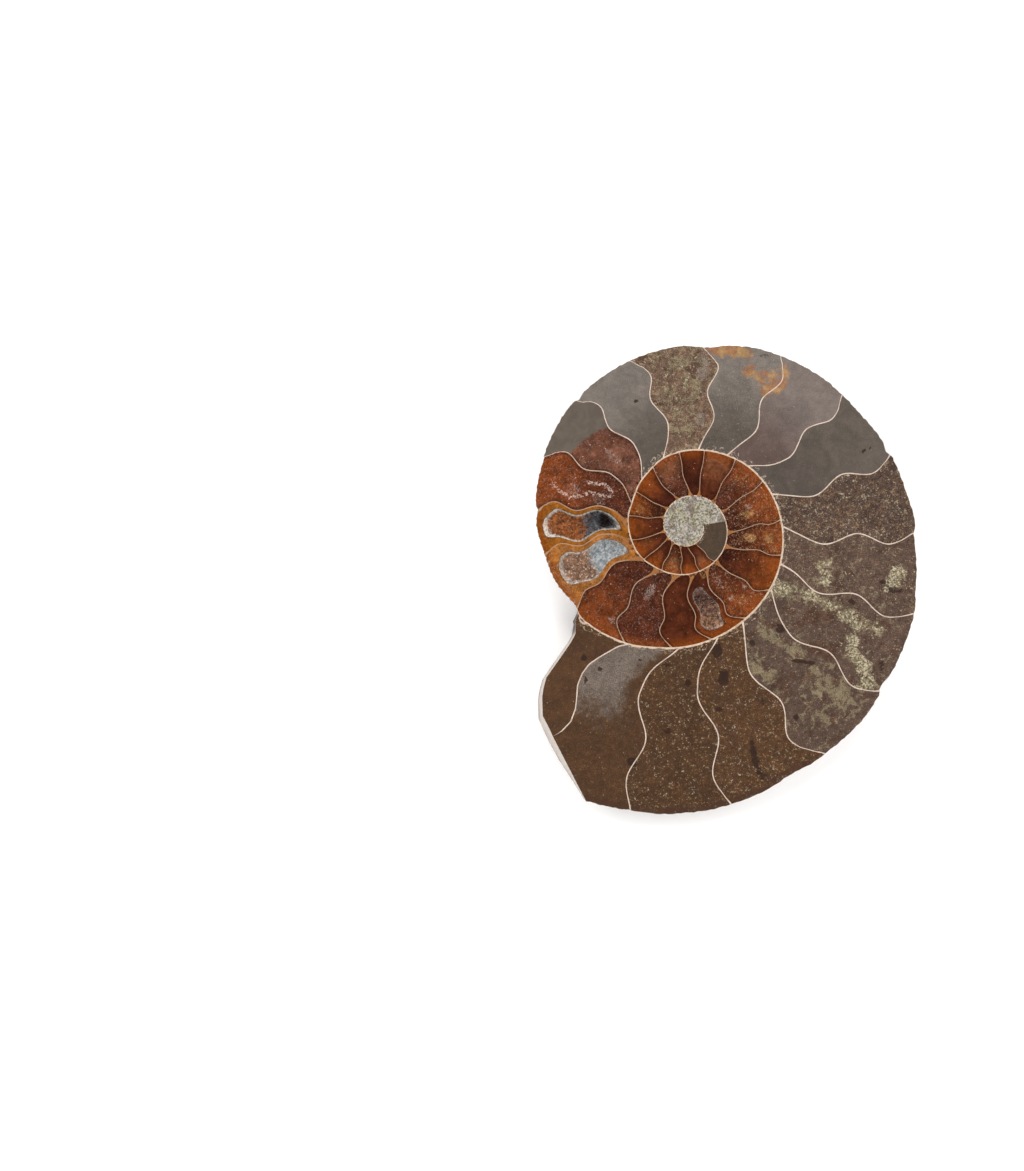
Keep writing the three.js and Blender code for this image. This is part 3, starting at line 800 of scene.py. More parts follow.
def flank_ribs(share, angle, sizes):
    """Relief of the growth ribs: a cosine along the winding, bent back, faint at shoulder and rim."""
    bend = RIB_BEND * np.sin(math.pi * share * RIB_WAVES)
    phase = 2.0 * math.pi * (sizes.rib_count * angle / TURN + bend)
    window = smooth_step(*RIB_START, share) * smooth_step(*RIB_END, share)
    middle, swing, count = RIB_STRENGTH
    strength = middle + swing * np.sin(count * np.radians(angle))
    return (0.5 + 0.5 * np.cos(phase)) * window * strength * sizes.rib_height / MM


class FossilBody:
    """Vertices, triangles, finishes and painted values of the fossil half as one closed surface."""

    FINISHES = ("silt_fill", "calcite_fill", "shell_wall", "septum_shell", "ground_facet", "flank_shell")
    CORE_PAINT = {"core": 1.0, "sand": 0.8, "speck": 0.3}

    def __init__(self, sizes, colours):
        self.sizes = sizes
        self.spiral = Spiral(sizes)
        self.grid = FaceGrid(self.spiral)
        self.points = []
        self.tints = []
        self.paint = []
        self.count = 0
        self.triangles = []
        self.finish = []
        self.colours = colours

    def add_points(self, points, tint, paint):
        """Appends vertices with their colour and painted values, and returns their numbers."""
        numbers = np.arange(self.count, self.count + len(points))
        self.count += len(points)
        self.points.append(points)
        self.tints.append(np.broadcast_to(tint, (len(points), 3)))
        self.paint.append({name: np.broadcast_to(value, len(points)) for name, value in paint.items()})
        return numbers

    def add_triangles(self, triangles, finish):
        """Appends triangles of one finish, or of one finish each."""
        self.triangles.append(triangles)
        self.finish.append(np.broadcast_to(finish, len(triangles)))

    def build(self):
        """Cut face, walls, core, then the edge and the flank behind them."""
        index = self.add_face()
        core_start = self.add_walls(index)
        self.add_core(index, core_start)
        self.add_back(index)

    def add_face(self):
        """Grid of the cut face with the fill of each chamber between bands of septum."""
        grid = self.grid
        tint, paint = paint_face(grid, self.colours)
        position = np.concatenate((grid.point, face_levels(grid)[..., None]), axis=-1)
        flat = {name: value.reshape(-1) for name, value in paint.items()}
        numbers = self.add_points(position.reshape(-1, 3), tint.reshape(-1, 3), flat)
        index = numbers.reshape(grid.angle.shape)
        number = grid.chamber
        silt = (number <= LAST_SILT_CHAMBER) | (number == len(FILLS) - 1)
        fill = np.where(silt, self.FINISHES.index("silt_fill"), self.FINISHES.index("calcite_fill"))
        between = number[1:] != number[:-1]
        strip = np.where(between, self.FINISHES.index("septum_shell"), fill[:-1])
        cells = np.repeat(strip, ROWS)
        self.add_triangles(grid_triangles(index, False), np.concatenate((cells, cells)))
        return index

    def add_walls(self, index):
        """Band of shell between each whorl and the one inside it; returns where the core's edge starts."""
        grid = self.grid
        inward = grid.angle[:, 0] + TURN
        covered = inward <= CORE_START
        rim_columns = np.flatnonzero(grid.angle[:, -1] >= NOTCH)
        rim_columns = np.concatenate(([rim_columns[0] - 1], rim_columns))
        self.notch_column = rim_columns[0]
        outer_run = inward[covered]
        inner_run = grid.angle[rim_columns, -1]
        outer_run = outer_run - outer_run[0] + min(outer_run[0], inner_run[0])
        band = zip_edges(index[covered, 0], outer_run, index[rim_columns, -1], inner_run)
        self.add_triangles(band, self.FINISHES.index("shell_wall"))
        return np.count_nonzero(covered) - 1

    def add_core(self, index, start):
        """Core: rings that close on the pole, the first a band of shell, the rest grains."""
        loop = np.concatenate((index[start:, 0], index[-1, 1:]))
        points = np.concatenate(self.points)[loop]
        wall = self.spiral.half_wall(self.grid.angle[start:, 0] + TURN) * 2.0
        inset = np.concatenate((wall, np.full(ROWS, CORE_EDGE)))
        offset = points[:, :2] - INNER_POLE
        distance = np.linalg.norm(offset, axis=-1)
        rings = [loop]
        shares = np.linspace(1.0, CORE_MIDDLE, CORE_RINGS)
        for share in shares:
            scale = np.maximum(distance - inset, CORE_LEAST) / distance * share
            place = np.column_stack((INNER_POLE + offset * scale[:, None], np.full(len(loop), TOP)))
            rings.append(self.add_points(place, self.colours.taupe[:], self.CORE_PAINT))
        ring_index = np.stack(rings, axis=1)[:, ::-1]
        triangles = grid_triangles(ring_index, True)
        outermost = np.tile(np.arange(CORE_RINGS) == CORE_RINGS - 1, len(loop))
        finish = np.where(outermost, self.FINISHES.index("shell_wall"), self.FINISHES.index("silt_fill"))
        self.add_triangles(triangles, np.concatenate((finish, finish)))
        pole = self.add_points(
            np.array([[*INNER_POLE, TOP]]), self.colours.taupe[:], self.CORE_PAINT,
        )
        inmost = rings[-1]
        fan = np.stack((inmost, np.roll(inmost, -1), np.full(len(inmost), pole[0])), axis=-1)
        self.add_triangles(fan, self.FINISHES.index("silt_fill"))

    def add_back(self, index):
        """Upright or ground edge under the outline of the cut face, then rings of flank to the umbilicus."""
        grid = self.grid
        columns = np.arange(grid.first_rim_column, self.notch_column + 1)
        loop = np.concatenate((index[columns, -1], index[0, :-1]))
        angle = np.concatenate((grid.angle[columns, -1], grid.angle[0, :-1]))
        flare = np.concatenate((np.zeros(len(columns)), grid.facet[:-1, 2]))
        on_facet = np.concatenate((np.zeros(len(columns), bool), np.ones(ROWS, bool)))
        nose = np.concatenate((np.zeros(len(columns)), smooth_step(*NOSE_LINE, grid.facet[:-1, 1])))
        outline = np.concatenate(self.points)[loop][:, :2]
        offset = outline - FLANK_CENTRE
        distance = np.linalg.norm(offset, axis=-1)
        edge = np.where(on_facet, np.minimum(distance / self.spiral.radius(angle), 1.0), 1.0)
        rings = [loop]
        land = flank_depth(edge, angle, self.spiral)
        bevel = outline + offset / distance[:, None] * RIM_BEVEL * BEVEL_LEAN
        place = np.column_stack((bevel, np.full(len(loop), TOP - RIM_BEVEL)))
        rings.append(self.add_points(place, 0.0, {"nose": nose}))
        for share in np.linspace(0.0, 1.0, SIDE_ROWS + 1)[1:]:
            reach = 1.0 + (flare * share + RIM_BEVEL * BEVEL_LEAN * (1.0 - share)) / distance
            drop = np.maximum(land * share, 2.0 * RIM_BEVEL)
            place = np.column_stack((FLANK_CENTRE + offset * reach[:, None], TOP - drop))
            rings.append(self.add_points(place, 0.0, {"drop": share, "nose": nose}))
        for ring in np.linspace(1.0, SMALLEST_RING, FLANK_RINGS)[1:] ** RING_CROWDING:
            stretch = ring * (1.0 + flare * ring / distance)
            depth = flank_depth(ring * edge, angle, self.spiral) - flank_ribs(ring * edge, angle, self.sizes)
            place = np.column_stack((FLANK_CENTRE + offset * stretch[:, None], TOP - depth))
            rings.append(self.add_points(place, 0.0, {}))
        ring_index = np.stack(rings, axis=1)
        facet_cells = np.outer(on_facet, np.arange(len(rings) - 1) <= SIDE_ROWS).ravel()
        facet, flank = (self.FINISHES.index(name) for name in ("ground_facet", "flank_shell"))
        finish = np.where(facet_cells, facet, flank)
        self.add_triangles(grid_triangles(ring_index, True), np.concatenate((finish, finish)))
        last = rings[-1]
        foot_depth = flank_depth(np.zeros(1), np.full(1, NOTCH), self.spiral)[0]
        foot = self.add_points(np.array([[*FLANK_CENTRE, TOP - foot_depth]]), 0.0, {})
        cap = np.stack((last, np.full(len(last), foot[0]), np.roll(last, -1)), axis=-1)
        self.add_triangles(cap, flank)

    def merged(self):
        """Vertices with doubles joined, and the triangles that keep three corners."""
        points = np.concatenate(self.points)
        rounded = np.round(points / WELD).astype(np.int64)
        _, first, where = np.unique(rounded, axis=0, return_index=True, return_inverse=True)
        triangles = where.reshape(-1)[np.concatenate(self.triangles)]
        a, b, c = triangles.T
        whole = (a != b) & (b != c) & (c != a)
        names = sorted({name for paint in self.paint for name in paint})
        paint = {}
        for name in names:
            parts = [part.get(name, np.zeros(len(place))) for part, place in zip(self.paint, self.points)]
            paint[name] = np.concatenate(parts)[first]
        tint = np.concatenate(self.tints)[first]
        return points[first], triangles[whole], np.concatenate(self.finish)[whole], tint, paint


def make_object(name, points, triangles, materials, finish):
    """A mesh object at the origin from millimetre points, with one material number for each triangle."""
    mesh = bpy.data.meshes.new(name)
    mesh.from_pydata((points * MM).tolist(), [], triangles.tolist())
    for material in materials:
        mesh.materials.append(material)
    mesh.polygons.foreach_set("material_index", np.ascontiguousarray(finish, dtype=np.int32))
    mesh.update()
    piece = bpy.data.objects.new(name, mesh)
    bpy.context.scene.collection.objects.link(piece)
    return piece


def store_value(mesh, name, values):
    """A number for each vertex, stored under a name that the materials read."""
    attribute = mesh.attributes.new(name, "FLOAT", "POINT")
    attribute.data.foreach_set("value", np.ascontiguousarray(values, dtype=np.float32))


def store_colour(mesh, name, values):
    """A colour for each vertex, stored under a name that the materials read."""
    whole = np.column_stack((values, np.ones(len(values)))).astype(np.float32)
    mesh.attributes.new(name, "FLOAT_COLOR", "POINT").data.foreach_set("color", whole.ravel())


class Recipe:
    """Nodes of one procedural material. Patterns read the piece's own place in millimetres."""

    # Sockets of the mixing node that carry the share and both colours, and the mixed colour
    MIX_INPUTS = (0, 6, 7)
    MIX_OUTPUT = 2
    FRAY_START = (0.0, 0.25)
    PORE_NOISE = (1.3, 2.0)
    PORE_LIMITS = (0.54, 0.6)

    def __init__(self, name, roughness, specular):
        self.material = bpy.data.materials.new(name)
        self.material.use_nodes = True
        self.tree = self.material.node_tree
        self.shader = self.tree.nodes["Principled BSDF"]
        self.shader.inputs["Roughness"].default_value = roughness
        self.shader.inputs["Specular IOR Level"].default_value = specular
        scaled = self.add("ShaderNodeVectorMath", operation="SCALE")
        self.feed(scaled.inputs[0], self.add("ShaderNodeTexCoord").outputs["Object"])
        scaled.inputs["Scale"].default_value = 1.0 / MM
        self.place = scaled.outputs["Vector"]

    def add(self, kind, **settings):
        """A node with its settings."""
        node = self.tree.nodes.new(kind)
        for name, value in settings.items():
            setattr(node, name, value)
        return node

    def feed(self, socket, value):
        """Links an output to a socket, or sets its value."""
        if isinstance(value, bpy.types.NodeSocket):
            self.tree.links.new(value, socket)
        elif hasattr(value, "__len__"):
            socket.default_value = (*value[:], 1.0)[: len(socket.default_value)]
        else:
            socket.default_value = value

    def value(self, name):
        """A number stored on the mesh."""
        return self.add("ShaderNodeAttribute", attribute_name=name).outputs["Fac"]

    def tint(self):
        """The colour stored on the mesh."""
        return self.add("ShaderNodeAttribute", attribute_name="tint").outputs["Color"]

    def noise(self, scale, detail=3.0, roughness=0.55, distortion=0.0):
        """Cloudy noise with so many swells in a millimetre."""
        node = self.add("ShaderNodeTexNoise")
        self.feed(node.inputs["Vector"], self.place)
        settings = {"Scale": scale, "Detail": detail, "Roughness": roughness, "Distortion": distortion}
        for name, value in settings.items():
            node.inputs[name].default_value = value
        return node.outputs[0]

    def noises(self, finish):
        """The noises listed for a finish."""
        return [self.noise(*settings) for settings in NOISES[finish]]

    def sum(self, operation, first, second=0.0, third=0.0):
        """Arithmetic on two or three numbers."""
        node = self.add("ShaderNodeMath", operation=operation)
        for socket, value in zip(node.inputs, (first, second, third)):
            self.feed(socket, value)
        return node.outputs[0]

    def times(self, first, second):
        """Product of two numbers."""
        return self.sum("MULTIPLY", first, second)

    def cover(self, base, mask, strength, top):
        """Lays a colour over another where a mask is, at a strength."""
        return self.blend(self.times(mask, strength), base, top)

    def pores(self, far, near):
        """Small pits that show within a distance of the whorl's wall."""
        pits = self.ramp(self.noise(*self.PORE_NOISE), *self.PORE_LIMITS)
        return self.times(pits, self.ramp(self.value("wall_gap"), far, near))

    def ramp(self, value, low, high, start=0.0, end=1.0):
        """A smooth step of a value between two limits."""
        node = self.add("ShaderNodeMapRange", interpolation_type="SMOOTHSTEP")
        limits = {"Value": value, "From Min": low, "From Max": high, "To Min": start, "To Max": end}
        for name, limit in limits.items():
            self.feed(node.inputs[name], limit)
        return node.outputs["Result"]

    def blend(self, share, first, second):
        """From the first colour to the second by a share."""
        node = self.add("ShaderNodeMix", data_type="RGBA")
        for number, value in zip(self.MIX_INPUTS, (share, first, second)):
            self.feed(node.inputs[number], value)
        return node.outputs[self.MIX_OUTPUT]

    def shade(self, base, factor):
        """A colour made lighter or darker by a factor."""
        node = self.add("ShaderNodeVectorMath", operation="SCALE")
        self.feed(node.inputs[0], base)
        self.feed(node.inputs["Scale"], factor)
        return node.outputs["Vector"]

    def ragged(self, weight, noise, spread, low=0.4, high=0.62):
        """A painted weight with its edge broken up by noise."""
        wander = self.sum("MULTIPLY_ADD", noise, spread, -0.5 * spread)
        lively = self.sum("MULTIPLY", wander, self.ramp(weight, *self.FRAY_START))
        return self.ramp(self.sum("ADD", weight, lively), low, high)

    def bump(self, height, strength, distance):
        """Fine relief from a height in millimetres."""
        node = self.add("ShaderNodeBump")
        node.inputs["Strength"].default_value = strength
        node.inputs["Distance"].default_value = distance * MM
        self.feed(node.inputs["Height"], height)
        self.feed(self.shader.inputs["Normal"], node.outputs["Normal"])

    def finished(self, base):
        """Puts the colour on the shader and returns the material."""
        self.feed(self.shader.inputs["Base Color"], base)
        return self.material


def silt_fill(colours):
    """Hardened silt and mud, polished: mottled tint, grit, specks, and the painted patches and spots."""
    recipe = Recipe("silt_fill", roughness=0.35, specular=0.2)
    cloud, swell, patch, mottle, crumb, grit, fine = recipe.noises("silt_fill")
    sand = recipe.value("sand")
    rough = recipe.sum("MULTIPLY_ADD", sand, 0.6, 0.08)
    blotch = recipe.sum("MULTIPLY_ADD", recipe.ramp(mottle, 0.3, 0.7, -0.6, 0.6), rough, 1.0)
    tooth = recipe.sum("MULTIPLY_ADD", recipe.ramp(fine, 0.3, 0.7, -1.0, 1.0), rough, 1.0)
    lightness = recipe.times(blotch, recipe.ramp(cloud, 0.3, 0.7, 0.86, 1.14))
    lightness = recipe.times(lightness, tooth)
    base = recipe.shade(recipe.tint(), lightness)
    patches = (
        ("pale", colours.grey, patch, 1.8, (0.1, 1.0), 0.6),
        ("lilac", colours.lilac, cloud, 0.8, (0.3, 0.8), 0.7),
        ("khaki", colours.khaki, patch, 4.2, (0.4, 0.8), 0.85),
        ("brick", colours.brick, swell, 3.0, (0.45, 0.7), 0.7),
    )
    for name, tone, noise, spread, limits, strength in patches:
        weight = recipe.ragged(recipe.value(name), noise, spread, *limits)
        base = recipe.cover(base, weight, strength, recipe.shade(tone, lightness))
    rust = recipe.ragged(recipe.value("rust"), patch, spread=3.4, low=0.35, high=0.95)
    rusty = recipe.blend(recipe.ramp(swell, 0.42, 0.6), colours.rust, colours.honey)
    base = recipe.cover(base, rust, 0.8, recipe.shade(rusty, lightness))
    pits = recipe.times(recipe.ramp(crumb, 0.45, 0.33), sand)
    base = recipe.cover(base, pits, 0.75, recipe.shade(colours.brick, 0.5))
    clump = recipe.times(recipe.value("speck"), recipe.ramp(mottle, 0.35, 0.65, 0.3, 1.0))
    limit = recipe.sum("MULTIPLY_ADD", clump, -0.17, 0.68)
    speck = recipe.ramp(grit, limit, recipe.sum("ADD", limit, 0.05))
    speck_tone = recipe.blend(recipe.ramp(swell, 0.4, 0.6), colours.honey, colours.cream)
    speck_tone = recipe.shade(speck_tone, recipe.ramp(crumb, 0.35, 0.65, 0.45, 0.95))
    base = recipe.cover(base, speck, 0.7, speck_tone)
    grainy = recipe.ragged(recipe.value("cream"), patch, spread=3.6, low=0.3, high=0.8)
    cream_limit = recipe.sum("MULTIPLY_ADD", grainy, -0.24, 0.72)
    cream = recipe.ramp(grit, cream_limit, recipe.sum("ADD", cream_limit, 0.07))
    cream_tone = recipe.shade(colours.cream, recipe.ramp(crumb, 0.35, 0.65, 0.5, 1.1))
    base = recipe.cover(base, cream, 0.8, cream_tone)
    holes = recipe.times(grainy, recipe.ramp(crumb, 0.48, 0.36))
    base = recipe.cover(base, holes, 0.8, recipe.shade(colours.brick, 0.5))
    ink = recipe.ragged(recipe.value("dark"), patch, spread=1.9, low=0.36, high=0.6)
    base = recipe.cover(base, ink, 0.88, recipe.shade(colours.brick, 0.35))
    rind = recipe.ragged(recipe.value("rind"), mottle, 0.6)
    base = recipe.cover(base, rind, 0.6, recipe.shade(colours.brick, 0.8))
    standing = recipe.ramp(recipe.noise(0.75, 3.0, 0.6, 0.4), 0.38, 0.66, -0.2, 1.3)
    apart = recipe.sum("ABSOLUTE", recipe.sum("SUBTRACT", recipe.value("wall_gap"), standing))
    lace = recipe.times(recipe.ramp(apart, 0.24, 0.1), recipe.ramp(crumb, 0.42, 0.56))
    base = recipe.cover(base, lace, 0.6, recipe.shade(colours.wall, 0.85))
    lens = recipe.value("lens")
    base = recipe.blend(recipe.ramp(lens, 0.35, 0.55, 0.0, 0.7), base, colours.wall)
    base = recipe.blend(recipe.ramp(lens, 0.65, 0.85, 0.0, 0.9), base, recipe.shade(colours.brick, 0.35))
    core_tone = recipe.blend(recipe.ramp(patch, 0.4, 0.6), colours.cream, colours.druse)
    core_grain = recipe.shade(core_tone, recipe.ramp(grit, 0.34, 0.62, 0.14, 0.72))
    spots = recipe.ramp(crumb, 0.4, 0.32, 0.0, 0.85)
    core_grain = recipe.blend(spots, core_grain, recipe.shade(colours.brick, 0.4))
    core_grain = recipe.blend(recipe.ramp(swell, 0.5, 0.62, 0.0, 0.6), core_grain, colours.mauve)
    base = recipe.blend(recipe.value("core"), base, core_grain)
    return recipe.finished(base)


def calcite_fill(colours):
    """Amber calcite, polished: orange painted light shining through it by the rim, a painted shadow by the
    septa, with clouds, veins and painted white glints.
    """
    recipe = Recipe("calcite_fill", roughness=0.16, specular=0.22)
    cloud, swirl, wisp, grit, fine = recipe.noises("calcite_fill")
    lightness = recipe.ramp(cloud, 0.3, 0.7, 0.66, 1.34)
    lightness = recipe.times(lightness, recipe.ramp(swirl, 0.25, 0.75, 0.64, 1.36))
    lightness = recipe.times(lightness, recipe.ramp(fine, 0.25, 0.75, 0.84, 1.16))
    base = recipe.shade(recipe.tint(), lightness)
    wander = recipe.sum("MULTIPLY_ADD", swirl, 2.4, -1.2)
    # Painted light: orange light shining through the thin calcite by the rim, fading out about three
    # millimetres in.
    rim = recipe.ramp(recipe.sum("ADD", recipe.value("rim_gap"), wander), 2.8, 0.3)
    painted_light_through = recipe.shade(colours.orange, recipe.ramp(swirl, 0.3, 0.7, 0.6, 1.4))
    base = recipe.cover(base, rim, 0.7, painted_light_through)
    # Painted shadow: a dark maroon band about a millimetre wide along each septum.
    near_septum = recipe.sum("MULTIPLY_ADD", wander, 0.3, recipe.value("septum_gap"))
    shadow = recipe.ramp(near_septum, 1.1, 0.1)
    base = recipe.cover(base, shadow, 0.65, recipe.shade(colours.maroon, 0.6))
    honey = recipe.ragged(recipe.value("honey"), wisp, spread=3.4, low=0.35, high=1.2)
    base = recipe.cover(base, honey, 0.6, recipe.shade(colours.honey, lightness))
    haze = recipe.ragged(recipe.value("haze"), wisp, spread=3.4, low=0.35, high=1.2)
    haze = recipe.times(haze, recipe.ramp(fine, 0.35, 0.65, 0.25, 0.6))
    base = recipe.blend(haze, base, colours.haze)
    # Painted glints: pale specks of light flashing off cleavage inside the calcite, more of them in the
    # clouds.
    clouded = recipe.sum("MAXIMUM", recipe.value("haze"), recipe.value("honey"))
    painted_glint_limit = recipe.sum("MULTIPLY_ADD", clouded, -0.06, 0.715)
    painted_glint = recipe.ramp(grit, painted_glint_limit, recipe.sum("ADD", painted_glint_limit, 0.06))
    base = recipe.cover(base, painted_glint, 0.75, recipe.shade(colours.haze, 1.5))
    grainy = recipe.sum("MULTIPLY_ADD", wisp, 0.5, recipe.times(grit, 0.6))
    vein = recipe.ramp(recipe.sum("MULTIPLY_ADD", recipe.value("vein"), 0.36, grainy), 0.84, 1.0)
    base = recipe.cover(base, vein, 0.65, recipe.shade(colours.haze, 1.6))
    pore = recipe.pores(far=0.9, near=0.35)
    base = recipe.cover(base, pore, 0.85, recipe.shade(colours.maroon, 0.3))
    mud = recipe.ragged(recipe.value("mud"), swirl, spread=0.8, low=0.3, high=0.7)
    muddy = recipe.shade(colours.olive, recipe.ramp(cloud, 0.3, 0.7, 1.05, 1.35))
    base = recipe.blend(mud, base, muddy)
    return recipe.finished(base)


def shell_wall(colours):
    """Shell between the whorls: cream, tan where it borders calcite, with dark pores along its outer side."""
    recipe = Recipe("shell_wall", roughness=0.35, specular=0.25)
    stain, fine = recipe.noises("shell_wall")
    base = recipe.shade(colours.wall, recipe.ramp(fine, 0.25, 0.75, 0.75, 1.12))
    base = recipe.blend(recipe.ramp(stain, 0.5, 0.7, 0.0, 0.45), base, colours.tan)
    base = recipe.cover(base, recipe.value("calcite"), 0.2, colours.fillet)
    outside = recipe.ramp(recipe.value("height"), 0.55, 0.15)
    pore = recipe.ramp(recipe.noise(1.5, 2.0, 0.5), 0.53, 0.6)
    base = recipe.cover(base, recipe.times(pore, outside), 0.85, colours.maroon)
    return recipe.finished(base)


def septum_shell(colours):
    """Thin septa: pinkish cream in the silt, tan in the calcite, with small changes of tone."""
    recipe = Recipe("septum_shell", roughness=0.35, specular=0.25)
    fine, broad = recipe.noises("septum_shell")
    base = recipe.blend(recipe.times(recipe.value("calcite"), 0.9), colours.septum, colours.fillet)
    foot = recipe.times(recipe.ramp(recipe.value("height"), 0.25, 0.08), recipe.value("calcite"))
    base = recipe.cover(base, foot, 0.8, colours.gold)
    pore = recipe.pores(far=1.2, near=0.5)
    base = recipe.cover(base, recipe.times(pore, foot), 0.85, colours.maroon)
    base = recipe.blend(recipe.ramp(broad, 0.45, 0.75, 0.0, 0.35), base, colours.tan)
    base = recipe.shade(base, recipe.ramp(fine, 0.25, 0.75, 0.78, 1.12))
    return recipe.finished(base)


def ground_facet(colours):
    """Sawn face of the mouth: pale and dull with a fine grain, brown where the fill shows."""
    recipe = Recipe("ground_facet", roughness=0.7, specular=0.25)
    fine, broad = recipe.noises("ground_facet")
    base = recipe.shade(colours.facet, recipe.ramp(fine, 0.2, 0.8, 0.78, 1.12))
    low = recipe.times(recipe.ramp(recipe.value("drop"), 0.35, 0.95), recipe.ramp(broad, 0.35, 0.6))
    base = recipe.cover(base, low, 0.7, colours.flank)
    base = recipe.cover(base, recipe.value("nose"), 0.9, colours.brick)
    recipe.bump(fine, strength=0.35, distance=0.25)
    return recipe.finished(base)


def flank_shell(colours):
    """Outer shell of the flank: brown with cream worn patches and broad dark stains."""
    recipe = Recipe("flank_shell", roughness=0.45, specular=0.4)
    broad, mottle, fine = recipe.noises("flank_shell")
    base = recipe.shade(colours.flank, recipe.ramp(mottle, 0.2, 0.8, 0.6, 1.35))
    base = recipe.blend(recipe.ramp(broad, 0.52, 0.68, 0.0, 0.75), base, colours.flank_dark)
    worn = recipe.ramp(recipe.times(mottle, recipe.ramp(broad, 0.6, 0.35)), 0.42, 0.6)
    base = recipe.cover(base, worn, 0.6, colours.wall)
    base = recipe.shade(base, recipe.ramp(fine, 0.2, 0.8, 0.85, 1.15))
    recipe.bump(recipe.sum("MULTIPLY_ADD", mottle, 0.6, fine), strength=0.4, distance=0.25)
    return recipe.finished(base)


def crystal_finish(hollow, colours):
    """Crystals of a hollow: two colours, a tone by crystal, pale druse at the rim, and painted shade in the
    deep over the crystals' own dark colour.
    """
    recipe = Recipe(hollow["name"], roughness=0.2, specular=0.4)
    main, second = (getattr(colours, name) for name in hollow["colours"])
    cloud, streak = recipe.noises("crystal_finish")
    own = recipe.value("crystal")
    wander = recipe.sum("MULTIPLY_ADD", cloud, 1.6, -0.8)
    other = recipe.ramp(recipe.sum("ADD", recipe.value("second"), wander), 0.2, 0.8)
    base = recipe.blend(other, main, second)
    sparkle = recipe.ramp(own, 0.0, 1.0, *hollow["sparkle"])
    tone = recipe.times(sparkle, recipe.ramp(cloud, 0.3, 0.7, 0.6, 1.35))
    base = recipe.shade(base, tone)
    frost = recipe.sum("MULTIPLY_ADD", streak, 1.1, recipe.times(own, 0.3))
    frost = recipe.ramp(frost, hollow["frost"], hollow["frost"] + 0.12)
    base = recipe.cover(base, frost, 0.8, colours.druse)
    edge = recipe.sum("MULTIPLY_ADD", streak, 0.3, recipe.value("rim"))
    rim = recipe.times(recipe.ramp(edge, 0.95, 1.07), hollow["sugar"])
    base = recipe.blend(rim, base, recipe.shade(colours.druse, recipe.ramp(own, 0.0, 1.0, 0.5, 1.1)))
    # Painted shade of the deep end of the hollow, laid over the crystals' own dark colour.
    deep = recipe.ramp(recipe.sum("MULTIPLY_ADD", wander, 0.6, recipe.value("deep")), 0.3, 0.75)
    base = recipe.cover(base, deep, 0.92, recipe.shade(colours.maroon, 0.2))
    return recipe.finished(base)


def build_body(context):
    """Makes the fossil half and stores what its materials read."""
    colours = context.scene.fossil_colours
    body = FossilBody(context.scene.fossil_sizes, colours)
    body.build()
    points, triangles, finish, tint, paint = body.merged()
    makers = (silt_fill, calcite_fill, shell_wall, septum_shell, ground_facet, flank_shell)
    piece = make_object("fossil_half", points, triangles, [maker(colours) for maker in makers], finish)
    store_colour(piece.data, "tint", tint)
    for name, values in paint.items():
        store_value(piece.data, name, values)
    piece.data.shade_smooth()
    piece.data.set_sharp_from_angle(angle=math.radians(SHARP_EDGE))
    return piece


def crystal_heights(place, measure, size, generator):
    """Heights of crystals over a plan: the highest of many turned pyramids, each of its own size."""
    flat = place.reshape(-1, 2)
    low, high = flat.min(axis=0), flat.max(axis=0)
    count = int(CRYSTAL_CROWDING * np.prod(high - low) / size**2)
    middle = generator.uniform(low, high, (count, 2))
    radius = size * generator.uniform(*CRYSTAL_SIZES, count)
    turned = generator.uniform(0.0, math.pi, count)
    steep = generator.uniform(*CRYSTAL_SLOPES, count)
    tone = generator.uniform(0.0, 1.0, count)
    best = np.zeros(len(flat))
    owner = np.full(len(flat), MIDDLE_TONE)
    sides = np.arange(CRYSTAL_SIDES) * 2.0 * math.pi / CRYSTAL_SIDES
    for number in range(count):
        near = np.abs(flat - middle[number]).max(axis=-1) < CRYSTAL_REACH * radius[number]
        offset = flat[near] - middle[number]
        directions = np.stack((np.cos(sides + turned[number]), np.sin(sides + turned[number])))
        reach = (offset @ directions).max(axis=-1)
        rise = steep[number] * (radius[number] - reach)
        higher = rise > best[near]
        spots = np.flatnonzero(near)[higher]
        best[spots] = rise[higher]
        owner[spots] = tone[number]
    inside = smooth_step(*CRYSTAL_EDGE, measure.reshape(-1))
    shrink = inside * (1.0 - SMALLEST_CRYSTAL) + SMALLEST_CRYSTAL
    return (best * shrink).reshape(measure.shape), owner.reshape(measure.shape)


